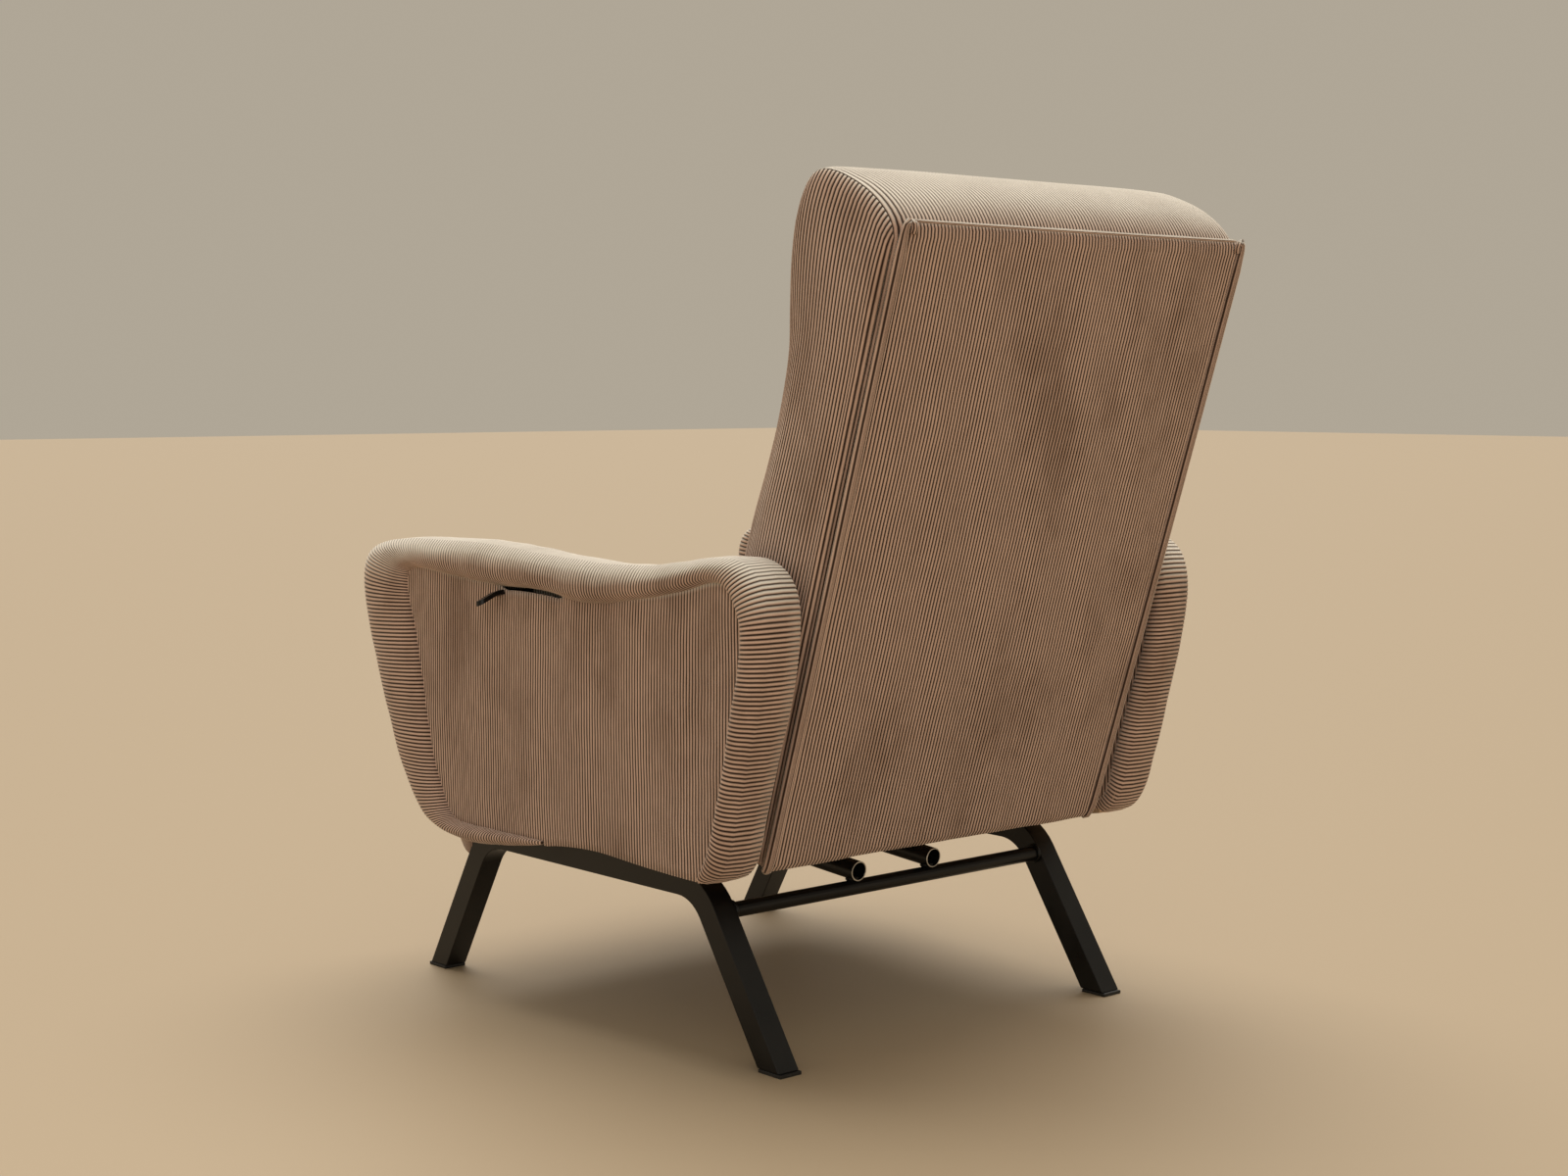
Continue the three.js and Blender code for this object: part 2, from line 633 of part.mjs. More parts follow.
function backUpholstery() {
  const front = -STILE.far - GAP;
  const place = ([x0, a0, t0], [x1, a1, t1]) =>
    boxBetween([x0, front - t1, a0], [x1, front - t0, a1]);
  const mat = strapMat(255, -12, 682, 4, 5, 50, place);
  add("back_webbing", mat, WEBBING, back);

  const seam = front - 1.6 - GAP;
  const outline = [
    [seam, 100],
    [seam, BACK_TOP_RAIL[1] + 2 * GAP],
    [-STILE.near, BACK_TOP_RAIL[1] + 2 * GAP],
    ...smoothLine(BACK_FRONT, 44).reverse(),
  ];
  const at = inBack(PIVOT);
  const pocket = (sign) => barX(15, sign * 250, sign * 270, at.y, at.z);
  const cushion = cut(sideExtrusion(outline, -BACK_X, BACK_X), pocket(1), pocket(-1));
  add("back_cushion", cushion, CORDUROY, back);

  const { halfWidth, rear, low, high } = BACK_PANEL;
  const panel = boxBetween([-halfWidth, -STILE.near + GAP, low], [halfWidth, rear, high]);
  add("outside_back_panel", panel, CORDUROY, back);
}

// A steel plate on the stile's side with a boss round the pivot. The left one also carries the
// smooth brake sector, which reaches forwards of the pivot and down.
function hingePlate(side, sign) {
  const at = inBack(PIVOT);
  const [p0, p1] = span(sign, 262, 266);
  const outline = [
    [-8, at.z - 75], [-8, at.z + 75], [-30, at.z + 75], [at.y - 16, at.z + 14],
    [at.y - 16, at.z - 14], [-30, at.z - 75],
  ];
  const pieces = [
    sideExtrusion(outline, p0, p1),
    barX(19, sign * 262, sign * 276, at.y, at.z, 32),
  ];
  if (sign > 0) {
    // Angles are from straight ahead, upwards, in the chair's frame.
    const high = THREE.MathUtils.degToRad(7);
    const low = THREE.MathUtils.degToRad(-38);
    const rim = Array.from({ length: 13 }, (_, i) => {
      const angle = Math.PI - (low + ((high - low) * i) / 12) - -BACK_LEAN;
      return [at.y + Math.cos(angle) * SECTOR_R, at.z + Math.sin(angle) * SECTOR_R];
    });
    const root = [
      [at.y + 4, at.z + 14],
      [at.y + 4, at.z - 14],
    ];
    pieces.push(sideExtrusion([...root, ...rim], 272, 276));
  }
  const bore = barX(6.4, sign * 250, sign * 290, at.y, at.z);
  add(`hinge_plate_${side}`, cut(join(...pieces), bore), BARE_STEEL, back);
}

// ---- Seat ----
// The seat's own frame lies on the runners: y runs to the rear along the slope, z is square to it.
const seat = new THREE.Group();
const runnerFace = baseRailTop(SEAT_FRONT_Y) + (RUNNER_THICK + GAP) / Math.cos(SLOPE) + GAP;
seat.position.set(0, SEAT_FRONT_Y, runnerFace);
seat.rotation.x = -SLOPE;
chair.add(seat);

function seatUnit() {
  const length = (SEAT_REAR_Y - SEAT_FRONT_Y) / Math.cos(SLOPE);
  const { wide, high } = SEAT_RAIL;
  const inner = SEAT_X - wide;
  for (const [side, sign] of SIDES) {
    const [x0, x1] = span(sign, inner, SEAT_X);
    add(`seat_side_rail_${side}`, boxBetween([x0, 0, 0], [x1, length, high]), BEECH, seat);
  }
  const rail = (y0, y1) => boxBetween([-inner + GAP, y0, 0], [inner - GAP, y1, high]);
  add("seat_front_rail", rail(0, 40), BEECH, seat);
  add("seat_rear_rail", rail(length - 30, length), BEECH, seat);

  const top = high + GAP;
  const place = ([x0, a0, t0], [x1, a1, t1]) => boxBetween([x0, a0, top + t0], [x1, a1, top + t1]);
  add("seat_webbing", strapMat(272, 8, length - 24, 4, 4, 60, place), WEBBING, seat);

  const base = top + 1.6 + GAP;
  const rear = (SEAT_CUSHION_REAR_Y - SEAT_FRONT_Y) / Math.cos(SLOPE);
  const crown = base + SEAT_CUSHION_THICK;
  const outline = [
    [0, base],
    [rear - 4, base],
    ...smoothLine([[rear, base + 6], [rear, crown - 22], [rear - 16, crown - 10]], 8),
    ...smoothLine(
      [
        [rear - 120, crown - 8], [rear / 2, crown - 2], [110, crown + 2], [44, crown - 6],
        [4, crown - 34], [-9, base + 34], [-3, base + 4],
      ],
      24,
    ),
  ];
  add("seat_cushion", sideExtrusion(outline, -SEAT_X + 1, SEAT_X - 1), CORDUROY, seat);
}

// ---- Footrest ----
const footrest = new THREE.Group();
footrest.position.set(0, FOOTREST_REAR_Y, FOOTREST_BOTTOM_Z);
footrest.rotation.x = -SLOPE;
chair.add(footrest);

function footrestUnit() {
  const front = (height) => -FOOTREST_TOE - FOOTREST_RAKE * height;
  const board = boxBetween(
    [-FOOTREST_X, -FOOTREST_BOARD, 0],
    [FOOTREST_X, 0, FOOTREST_HIGH - 14],
  );
  add("footrest_board", board, BEECH, footrest);
  const back0 = -FOOTREST_BOARD - GAP;
  const top = FOOTREST_HIGH;
  const outline = [
    [back0, 0],
    [back0, top - 13.7],
    [-2, top - 13.7],
    [-2, top - 4],
    ...smoothLine([[-8, top], [-36, top + 1], [-66, top - 2], [-82, top - 9], [front(94), 94]], 14),
    [front(12), 12],
    [front(4), 3],
    [2 - FOOTREST_TOE, 0],
  ];
  const pad = sideExtrusion(outline.reverse(), -FOOTREST_X, FOOTREST_X);
  add("footrest_pad", pad, CORDUROY, footrest);
  for (const [side, sign] of SIDES) {
    const rod = slidingBar(ROD_R, sign * GUIDE_X, FOOTREST_REAR_Y + GAP, ROD_REAR_Y);
    const boardRear = (z) => FOOTREST_REAR_Y + GAP + (z - FOOTREST_BOTTOM_Z) * Math.sin(SLOPE);
    const behindBoard = sideExtrusion(
      [
        [FOOTREST_REAR_Y - 80, 100],
        [boardRear(100), 100],
        [boardRear(300), 300],
        [FOOTREST_REAR_Y - 80, 300],
      ],
      -400,
      400,
    );
    add(`footrest_rod_${side}`, cut(rod, behindBoard), BARE_STEEL);
  }
}

sideFrames();
crossTubes();
guideTubes();
baseRails();
arms();
release();
backFrame();
backUpholstery();
seatUnit();
footrestUnit();

export default chair;
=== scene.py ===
"""The looks of a reclining armchair in ribbed corduroy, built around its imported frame.

Every outline is in metres on the chair's own axes: x from the chair's middle, y to the rear from a
datum near the front legs, and z up from the floor. place() moves such points into the frame.
"""
import json
import math

import bmesh
import bpy
import numpy as np
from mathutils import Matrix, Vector

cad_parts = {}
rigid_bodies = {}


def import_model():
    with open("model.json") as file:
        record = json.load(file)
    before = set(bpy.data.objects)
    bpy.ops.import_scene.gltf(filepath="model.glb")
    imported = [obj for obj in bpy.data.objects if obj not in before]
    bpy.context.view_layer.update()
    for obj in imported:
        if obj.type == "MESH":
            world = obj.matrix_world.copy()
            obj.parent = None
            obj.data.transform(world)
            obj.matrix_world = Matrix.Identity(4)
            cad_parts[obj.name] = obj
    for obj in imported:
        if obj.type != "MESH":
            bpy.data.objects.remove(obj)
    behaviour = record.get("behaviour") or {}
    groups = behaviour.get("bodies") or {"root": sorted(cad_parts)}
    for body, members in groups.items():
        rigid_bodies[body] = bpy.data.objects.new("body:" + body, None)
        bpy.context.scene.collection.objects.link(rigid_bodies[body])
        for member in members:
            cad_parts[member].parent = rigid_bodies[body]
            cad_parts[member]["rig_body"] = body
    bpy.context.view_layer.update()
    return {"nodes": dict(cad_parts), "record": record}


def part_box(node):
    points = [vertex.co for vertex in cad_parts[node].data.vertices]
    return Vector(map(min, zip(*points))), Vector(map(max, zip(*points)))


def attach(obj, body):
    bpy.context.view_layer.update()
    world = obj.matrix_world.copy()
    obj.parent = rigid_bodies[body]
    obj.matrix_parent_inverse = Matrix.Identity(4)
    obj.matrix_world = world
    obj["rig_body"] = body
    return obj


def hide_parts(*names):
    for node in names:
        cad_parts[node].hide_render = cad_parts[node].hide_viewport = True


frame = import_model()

bl_info = {
    "name": "Corduroy Recliner",
    "version": (1, 0, 0),
    "blender": (4, 5, 0),
    "location": "3D View > Sidebar > Recliner",
    "description": "Upholsters and finishes a reclining armchair on its packed frame",
    "category": "Object",
}

# ---- Where the chair stands in the frame ----


def centre(node):
    """The middle of a frame node's box."""
    low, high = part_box(node)
    return (low + high) / 2


MIDDLE_X = (centre("side_frame_left").x + centre("side_frame_right").x) / 2
REAR_TUBE_Y = 0.281
DATUM_Y = centre("rear_cross_tube").y - REAR_TUBE_Y

# How far the seat and footrest slope down to the rear and the back leans, and the [y, z] of the
# foot that each one's outline is given from.
SLOPE = math.radians(4.4)
BACK_LEAN = math.radians(17.5)
BACK_FOOT = (0.359, 0.241)
SEAT_FOOT = (-0.318, 0.3049)
FOOTREST_FOOT = (-0.203, 0.157)


def place(points):
    """Points on the chair's axes, moved into the frame."""
    return np.asarray(points, float) + (MIDDLE_X, DATUM_Y, 0.0)


def tilted(points, foot, lean):
    """Points [x, y, z] of a tilted unit, given from its foot, put on the chair's axes."""
    points = np.asarray(points, float)
    x, y, z = points[..., 0], points[..., 1], points[..., 2]
    sine, cosine = math.sin(lean), math.cos(lean)
    return np.stack([x, foot[0] + y * cosine + z * sine, foot[1] - y * sine + z * cosine], -1)


# ---- Outlines [y, z] ----

# The roll of the arm: each station is a point on its crest and the point on the panel's border
# that the same rib runs to.
ROLL_STATIONS = np.array([
    (0.044, 0.2125, 0.044, 0.219), (-0.030, 0.202, -0.030, 0.217), (-0.095, 0.196, -0.085, 0.216),
    (-0.148, 0.199, -0.128, 0.217), (-0.195, 0.211, -0.150, 0.224), (-0.228, 0.236, -0.167, 0.243),
    (-0.264, 0.292, -0.188, 0.290), (-0.302, 0.370, -0.210, 0.372), (-0.330, 0.433, -0.228, 0.438),
    (-0.343, 0.480, -0.240, 0.482), (-0.345, 0.512, -0.246, 0.502), (-0.335, 0.534, -0.244, 0.515),
    (-0.312, 0.548, -0.236, 0.523), (-0.272, 0.557, -0.215, 0.527), (-0.200, 0.562, -0.178, 0.525),
    (-0.110, 0.564, -0.105, 0.519), (-0.044, 0.562, -0.041, 0.5165), (0.014, 0.559, 0.014, 0.5165),
    (0.065, 0.555, 0.065, 0.514), (0.112, 0.552, 0.112, 0.508), (0.160, 0.550, 0.160, 0.509),
    (0.211, 0.551, 0.209, 0.514), (0.266, 0.554, 0.260, 0.521), (0.322, 0.563, 0.313, 0.532),
    (0.367, 0.570, 0.350, 0.541), (0.405, 0.569, 0.375, 0.541), (0.433, 0.556, 0.392, 0.531),
    (0.448, 0.533, 0.403, 0.515), (0.452, 0.500, 0.410, 0.494), (0.447, 0.458, 0.408, 0.456),
    (0.437, 0.415, 0.398, 0.415), (0.419, 0.358, 0.387, 0.362), (0.399, 0.293, 0.371, 0.298),
    (0.386, 0.248, 0.361, 0.262), (0.370, 0.224, 0.353, 0.243), (0.346, 0.213, 0.345, 0.226),
])

# The cover's section over the roll: how far out from the panel's border, from 0 to 1, and x. The
# border itself is at BORDER_X.
BORDER_X = 0.3415
ROLL_SECTION = np.array([
    (-0.06, 0.3365), (0.010, 0.3440), (0.11, 0.3500), (0.28, 0.3532), (0.52, 0.3530),
    (0.71, 0.3500), (0.86, 0.3440), (0.955, 0.3355), (1.00, 0.3250), (1.01, 0.3150),
    (0.99, 0.3045), (0.93, 0.2960), (0.83, 0.2900), (0.66, 0.2880), (0.52, 0.2875),
])

# The back's side outline from its foot, as four runs that meet at the corners.
BACK_BOTTOM = [(-0.004, -0.019), (-0.027, -0.020), (-0.050, -0.019)]
BACK_FRONT = [
    (-0.050, -0.019), (-0.051, 0.050), (-0.064, 0.083), (-0.105, 0.091), (-0.128, 0.112),
    (-0.132, 0.160), (-0.134, 0.240), (-0.132, 0.328), (-0.124, 0.400), (-0.1206, 0.456),
    (-0.124, 0.520), (-0.136, 0.565), (-0.149, 0.612), (-0.156, 0.655), (-0.154, 0.690),
]
BACK_TOP = [
    (-0.154, 0.690), (-0.150, 0.712), (-0.138, 0.7255), (-0.117, 0.7310), (-0.090, 0.7305),
    (-0.058, 0.7255), (-0.030, 0.7155), (-0.010, 0.702), (-0.002, 0.688),
]
BACK_REAR = [(-0.002, 0.688), (-0.003, 0.350), (-0.004, -0.019)]

SEAT_BOTTOM = [(0.588, 0.0375), (0.300, 0.0375), (0.002, 0.0375)]
SEAT_FRONT = [(0.002, 0.0375), (-0.007, 0.052), (-0.011, 0.072), (-0.004, 0.093), (0.016, 0.108)]
SEAT_TOP = [
    (0.016, 0.108), (0.055, 0.115), (0.110, 0.118), (0.220, 0.118), (0.380, 0.115), (0.500, 0.111),
    (0.568, 0.107),
]
SEAT_REAR = [(0.568, 0.107), (0.584, 0.099), (0.590, 0.080), (0.590, 0.055), (0.588, 0.0375)]

FOOTREST_BOTTOM = [(-0.001, 0.000), (-0.006, -0.0015), (-0.0135, 0.001)]
FOOTREST_FRONT = [
    (-0.0135, 0.001), (-0.020, 0.006), (-0.031, 0.020), (-0.052, 0.050), (-0.076, 0.084),
    (-0.0835, 0.098), (-0.082, 0.109),
]
FOOTREST_TOP = [(-0.082, 0.109), (-0.066, 0.117), (-0.040, 0.119), (-0.018, 0.117), (-0.003, 0.110)]
FOOTREST_REAR = [(-0.003, 0.110), (0.000, 0.100), (0.000, 0.010), (-0.001, 0.000)]

# The cloth that turns under and over the seat's front rail.
BORDER_ROUTE = [
    (0.030, -0.0035), (0.010, -0.0040), (0.000, -0.0035), (-0.0035, 0.000), (-0.0050, 0.006),
    (-0.0058, 0.020), (-0.0050, 0.034), (-0.0025, 0.0385),
]

# The lower edge of an arm's panels, from rear to front.
ARM_UNDERSIDE = np.array([
    (0.340, 0.2135), (0.232, 0.2165), (0.150, 0.2205), (0.090, 0.2180), (0.040, 0.2115),
])

# The outside back, from where it turns in at the foot to where it turns in under the tacking line.
OUTSIDE_BACK = [
    (-0.010, -0.0225), (0.002, -0.0240), (0.0075, -0.0200), (0.0090, -0.005), (0.0095, 0.10),
    (0.0100, 0.35), (0.0095, 0.60), (0.0085, 0.690), (0.0070, 0.704), (0.0020, 0.7085),
]

# The roll down one edge of the outside back, as x, y and z on the tilted back. It hooks in at the
# top.
EDGE_ROLL = np.array([
    (0.2600, 0.000, -0.022), (0.2625, 0.006, -0.012), (0.2635, 0.008, 0.05), (0.2660, 0.009, 0.35),
    (0.2682, 0.008, 0.66), (0.2688, 0.008, 0.695), (0.2670, 0.008, 0.7065), (0.2620, 0.009, 0.7090),
    (0.2580, 0.0100, 0.7040), (0.2590, 0.0105, 0.6960),
])

# The slot for the release lever, in the left arm's outer panel: its ends, how far it opens, and
# how soon.
SLOT_Y = (-0.043, 0.087)
SLOT_DROP = 0.0115
SLOT_EDGE = 0.006

# How wide the bevel is on each kind of hard part, and its segments, by how the nodes' names start.
EASED = {
    "side_frame": (0.0024, 3), "foot_cap": (0.0010, 2), "guide_tube": (0.0005, 1),
    "release_lever": (0.0009, 2), "brake_cam": (0.0005, 1), "hinge_plate": (0.0005, 1),
    "base_rail": (0.0016, 2), "back_stile": (0.0016, 2), "back_top_rail": (0.0016, 2),
    "back_bottom_rail": (0.0016, 2), "seat_front_rail": (0.0016, 2), "seat_rear_rail": (0.0016, 2),
    "seat_side_rail": (0.0016, 2), "seat_runner": (0.0008, 2),
}

# One corduroy rib, as fractions of its pitch from groove to groove, and the height at each.
RIB_AT = np.array([0.0, 0.10, 0.27, 0.50, 0.73, 0.90])
RIB_RISE = np.array([0.0, 0.58, 0.93, 1.0, 0.93, 0.58])

# How far from a seam the ribs are pressed down, and the steps of the fine rows along the ribs on
# a cushion's cover and on its end panels.
SEAM_REACH = 0.004
COVER_STEP = 0.0102
END_PANEL_STEP = 0.008

# How many frames the stuffing takes to fill a cover.
FILLING_FRAMES = 20


# ---- Smooth lines and grids ----


def cubic(rows, at):
    """Reads rows of points at fractional row numbers, on a smooth curve through them."""
    rows = np.asarray(rows, float)
    last = len(rows) - 1
    at = np.clip(np.asarray(at, float), 0, last)
    base = np.minimum(at.astype(int), last - 1)
    step = (at - base).reshape((-1,) + (1,) * (rows.ndim - 1))
    here, ahead = rows[base], rows[base + 1]
    inside = (base > 0).reshape(step.shape)
    before = np.where(inside, rows[np.maximum(base - 1, 0)], 2 * here - ahead)
    inside = (base + 2 <= last).reshape(step.shape)
    beyond = np.where(inside, rows[np.minimum(base + 2, last)], 2 * ahead - here)
    bend = 2 * before - 5 * here + 4 * ahead - beyond
    twist = 3 * (here - ahead) + beyond - before
    return here + 0.5 * step * ((ahead - before) + step * (bend + step * twist))


def run_length(points):
    """How far along its line each point is."""
    steps = np.linalg.norm(np.diff(points, axis=0), axis=1)
    return np.concatenate([[0.0], np.cumsum(steps)])


def even(points, count):
    """The smooth line through the points, as that many points at even steps."""
    points = np.asarray(points, float)
    dense = cubic(points, np.linspace(0, len(points) - 1, 30 * len(points)))
    run = run_length(dense)
    at = np.linspace(0, run[-1], count)
    return np.stack([np.interp(at, run, dense[:, k]) for k in range(dense.shape[1])], -1)


def filled(bottom, front, top, rear):
    """A grid [across, up] inside four lines that meet at their corners.

    bottom and top run from front to rear, and front and rear run upwards."""
    across = np.linspace(0, 1, len(bottom))[:, None, None]
    up = np.linspace(0, 1, len(front))[None, :, None]
    sides = (1 - across) * front[None] + across * rear[None]
    ends = (1 - up) * bottom[:, None] + up * top[:, None]
    corners = (
        (1 - across) * (1 - up) * bottom[0]
        + across * (1 - up) * bottom[-1]
        + (1 - across) * up * top[0]
        + across * up * top[-1]
    )
    return sides + ends - corners


def unit(vectors):
    """The vectors at length 1."""
    size = np.linalg.norm(vectors, axis=-1, keepdims=True)
    return vectors / np.maximum(size, 1e-9)


def ripple(points, size, height, seed):
    """A gentle unevenness: how far each point rises, from a few seeded waves about that long."""
    dice = np.random.default_rng(seed)
    total = np.zeros(points.shape[:-1])
    waves = 14
    for _ in range(waves):
        direction = unit(dice.normal(size=3))
        length = size * dice.uniform(0.7, 1.8)
        total += np.sin(points @ direction * (2 * math.pi / length) + dice.uniform(0, 2 * math.pi))
    return total * height / math.sqrt(waves)


def ribs_in(width):
    """How many ribs a width of cloth has."""
    return round(width / looks().rib_pitch)


def rib_stations(ribs):
    """Where the columns of a ribbed cloth go, in ribs, with each one's height from 0 to 1."""
    at = (np.arange(ribs)[:, None] + RIB_AT[None]).ravel()
    rise = np.tile(RIB_RISE, ribs)
    return np.append(at, ribs), np.append(rise, 0.0)


def ribbed(coarse, ribs, rows, outward, uneven=0.0, seed=1, sewn=False):
    """A fine ribbed grid over a coarse one [across the ribs, along them].

    rows are the fractional coarse rows to read. outward is 1 or -1, the side that faces out.
    uneven is how far the cloth rises and falls, and seed says where. sewn flattens the ribs where
    they run into a seam at either end. Gives the points and, for each, its rib number and its
    distance along the rib."""
    at, rise = rib_stations(ribs)
    columns = cubic(coarse, at / ribs * (len(coarse) - 1))
    smooth = np.swapaxes(cubic(np.swapaxes(columns, 0, 1), rows), 0, 1)
    across = np.gradient(smooth, axis=0)
    along = np.gradient(smooth, axis=1)
    normal = unit(np.cross(across, along)) * outward
    middle = smooth[len(smooth) // 2]
    run = run_length(middle)
    fade = np.ones(len(run))
    if sewn:
        fade = np.clip(np.minimum(run, run[-1] - run) / SEAM_REACH, 0, 1) ** 0.5
    lift = (rise[:, None] * fade[None] - 1.0) * looks().rib_depth
    if uneven:
        lift = lift + ripple(smooth, 0.16, uneven, seed)
        lift = lift + ripple(smooth, 0.05, uneven * 0.35, seed + 1)
    points = smooth + normal * lift[..., None]
    marks = np.stack(np.broadcast_arrays(at[:, None], run[None]), -1)
    return points, marks


# ---- Meshes ----


def quads_of(numbers):
    """The corners of each quad in a grid of point numbers."""
    corners = numbers[:-1, :-1], numbers[1:, :-1], numbers[1:, 1:], numbers[:-1, 1:]
    return np.stack(corners, -1).reshape(-1, 4).tolist()


class Shell:
    """Gathers grids, strips and fans of points into one closed piece of cloth."""

    def __init__(self):
        self.points, self.marks, self.faces = [], [], []
        self.count = 0

    def add(self, points, marks):
        """Takes points with their marks, and gives their numbers in the same shape."""
        numbers = self.count + np.arange(points[..., 0].size).reshape(points.shape[:-1])
        self.points.append(points.reshape(-1, 3))
        self.marks.append(np.broadcast_to(marks, points.shape[:-1] + (2,)).reshape(-1, 2))
        self.count += numbers.size
        return numbers

    def grid(self, points, marks, closed=False):
        """Quads over a grid of points; closed joins its last column to its first."""
        numbers = self.add(points, marks)
        if closed:
            numbers = np.concatenate([numbers, numbers[:, :1]], 1)
        self.faces.extend(quads_of(numbers))
        return numbers

    def bar(self, points, marks):
        """A grid closed round into a bar, with a fan over each end."""
        numbers = self.grid(points, marks, closed=True)
        self.fan(numbers[0, :-1])
        self.fan(numbers[-1, :-1])

    def lined(self, points, marks, lining, shared):
        """A ribbed face with a plain lining behind it, which repeats the shared columns' marks."""
        marks = np.concatenate([marks, marks[:, shared]], 1)
        self.bar(np.concatenate([points, lining], 1), marks)

    def place_of(self, chain):
        """The points of a chain of numbers."""
        return np.concatenate(self.points)[chain]

    def seam(self, first, second):
        """Triangles that close the gap between two chains that run the same way."""
        runs = []
        for chain in (first, second):
            run = run_length(self.place_of(chain))
            runs.append(run / run[-1])
        a, b = 0, 0
        while a < len(first) - 1 or b < len(second) - 1:
            second_done = b == len(second) - 1
            if second_done or (a < len(first) - 1 and runs[0][a + 1] <= runs[1][b + 1]):
                self.faces.append([int(first[a]), int(first[a + 1]), int(second[b])])
                a += 1
            else:
                self.faces.append([int(first[a]), int(second[b + 1]), int(second[b])])
                b += 1

    def fan(self, loop):
        """Closes a loop of points round its middle."""
        middle = self.place_of(loop).mean(0)
        hub = int(self.add(middle[None], self.marks[0][0])[0])
        for here, there in zip(loop, np.roll(loop, -1)):
            self.faces.append([int(here), int(there), hub])

    def piece(self, name, material):
        """The shell as an object, with its marks as the UV map that the ribs' colour reads."""
        mesh = bpy.data.meshes.new(name)
        mesh.from_pydata(place(np.concatenate(self.points)).tolist(), [], self.faces)
        marks = np.concatenate(self.marks).astype(np.float32)
        corners = np.zeros(len(mesh.loops), np.int32)
        mesh.loops.foreach_get("vertex_index", corners)
        layer = mesh.uv_layers.new(name="ribs")
        layer.data.foreach_set("uv", marks[corners].ravel())
        work = bmesh.new()
        work.from_mesh(mesh)
        bmesh.ops.dissolve_degenerate(work, dist=1e-7, edges=work.edges)
        bmesh.ops.recalc_face_normals(work, faces=work.faces)
        work.to_mesh(mesh)
        work.free()
        mesh.polygons.foreach_set("use_smooth", np.ones(len(mesh.polygons), bool))
        mesh.materials.append(material)
        piece = bpy.data.objects.new(name, mesh)
        bpy.context.scene.collection.objects.link(piece)
        return piece


def simulate(grids, held, pressure, cap):
    """Welds grids that share their edges into one cloth, stuffs it, and gives the grids back.

    held marks the points that are sewn or tacked down. No point moves further than cap."""
    flat = np.concatenate([grid.reshape(-1, 3) for grid in grids])
    _, keep, number = np.unique(np.round(flat, 5), axis=0, return_index=True, return_inverse=True)
    number = number.ravel()
    fixed = np.zeros(len(keep), bool)
    np.logical_or.at(fixed, number, np.concatenate([mark.ravel() for mark in held]))
    faces, start = [], 0
    for grid in grids:
        at = number[start:start + grid[..., 0].size].reshape(grid.shape[:-1])
        start += at.size
        for quad in quads_of(at):
            corners = list(dict.fromkeys(quad))
            if len(corners) > 2:
                faces.append(corners)
    mesh = bpy.data.meshes.new("cloth")
    mesh.from_pydata(flat[keep].tolist(), [], faces)
    work = bmesh.new()
    work.from_mesh(mesh)
    bmesh.ops.recalc_face_normals(work, faces=work.faces)
    work.to_mesh(mesh)
    work.free()
    cloth = bpy.data.objects.new("cloth", mesh)
    scene = bpy.context.scene
    scene.collection.objects.link(cloth)
    group = cloth.vertex_groups.new(name="held")
    group.add(np.flatnonzero(fixed).tolist(), 1.0, "REPLACE")
    bpy.ops.object.select_all(action="DESELECT")
    bpy.context.view_layer.objects.active = cloth
    cloth.select_set(True)
    modifier = cloth.modifiers.new("Cloth", "CLOTH")
    settings = modifier.settings
    settings.quality = 5
    settings.mass = 0.3
    settings.tension_stiffness = 15.0
    settings.compression_stiffness = 15.0
    settings.shear_stiffness = 5.0
    settings.bending_stiffness = 0.8
    settings.vertex_group_mass = "held"
    settings.use_pressure = True
    settings.uniform_pressure_force = pressure
    settings.effector_weights.gravity = 0.0
    modifier.collision_settings.use_collision = False
    scene.frame_start, scene.frame_end = 1, FILLING_FRAMES
    for moment in range(1, FILLING_FRAMES + 1):
        scene.frame_set(moment)
    bpy.ops.object.modifier_apply(modifier=modifier.name)
    moved = np.zeros(len(cloth.data.vertices) * 3)
    cloth.data.vertices.foreach_get("co", moved)
    normals = np.zeros(len(mesh.vertices) * 3)
    mesh.vertices.foreach_get("normal", normals)
    normals = normals.reshape(-1, 3)
    # The stuffing only pushes a cover out, and never lets it sink in.
    outward = np.maximum(((moved.reshape(-1, 3) - flat[keep]) * normals).sum(1), 0.0)
    shift = normals * outward[:, None]
    size = np.linalg.norm(shift, axis=1, keepdims=True)
    shift = shift * (np.tanh(size / cap) * cap / np.maximum(size, 1e-9))
    bpy.data.objects.remove(cloth)
    bpy.data.meshes.remove(mesh)
    scene.frame_set(1)
    result = (flat[keep] + shift)[number]
    sizes = np.cumsum([grid[..., 0].size for grid in grids])[:-1]
    return [part.reshape(grid.shape) for part, grid in zip(np.split(result, sizes), grids)]


def edge_mask(grid):
    """Marks the points round the edge of a grid."""
    mask = np.zeros(grid.shape[:-1], bool)
    mask[0, :] = mask[-1, :] = True
    mask[:, 0] = mask[:, -1] = True
    return mask


# ---- Materials ----


class Value:
    """A socket that adds Math nodes when it is used in an expression."""

    def __init__(self, surface, socket):
        self.surface, self.socket = surface, socket

    def math(self, operation, *others):
        return self.surface.math(operation, self, *others)

    def __add__(self, other):
        return self.math("ADD", other)

    __radd__ = __add__

    def __mul__(self, other):
        return self.math("MULTIPLY", other)

    __rmul__ = __mul__

    def __sub__(self, other):
        return self.math("SUBTRACT", other)

    def __rsub__(self, other):
        return self.surface.math("SUBTRACT", other, self)


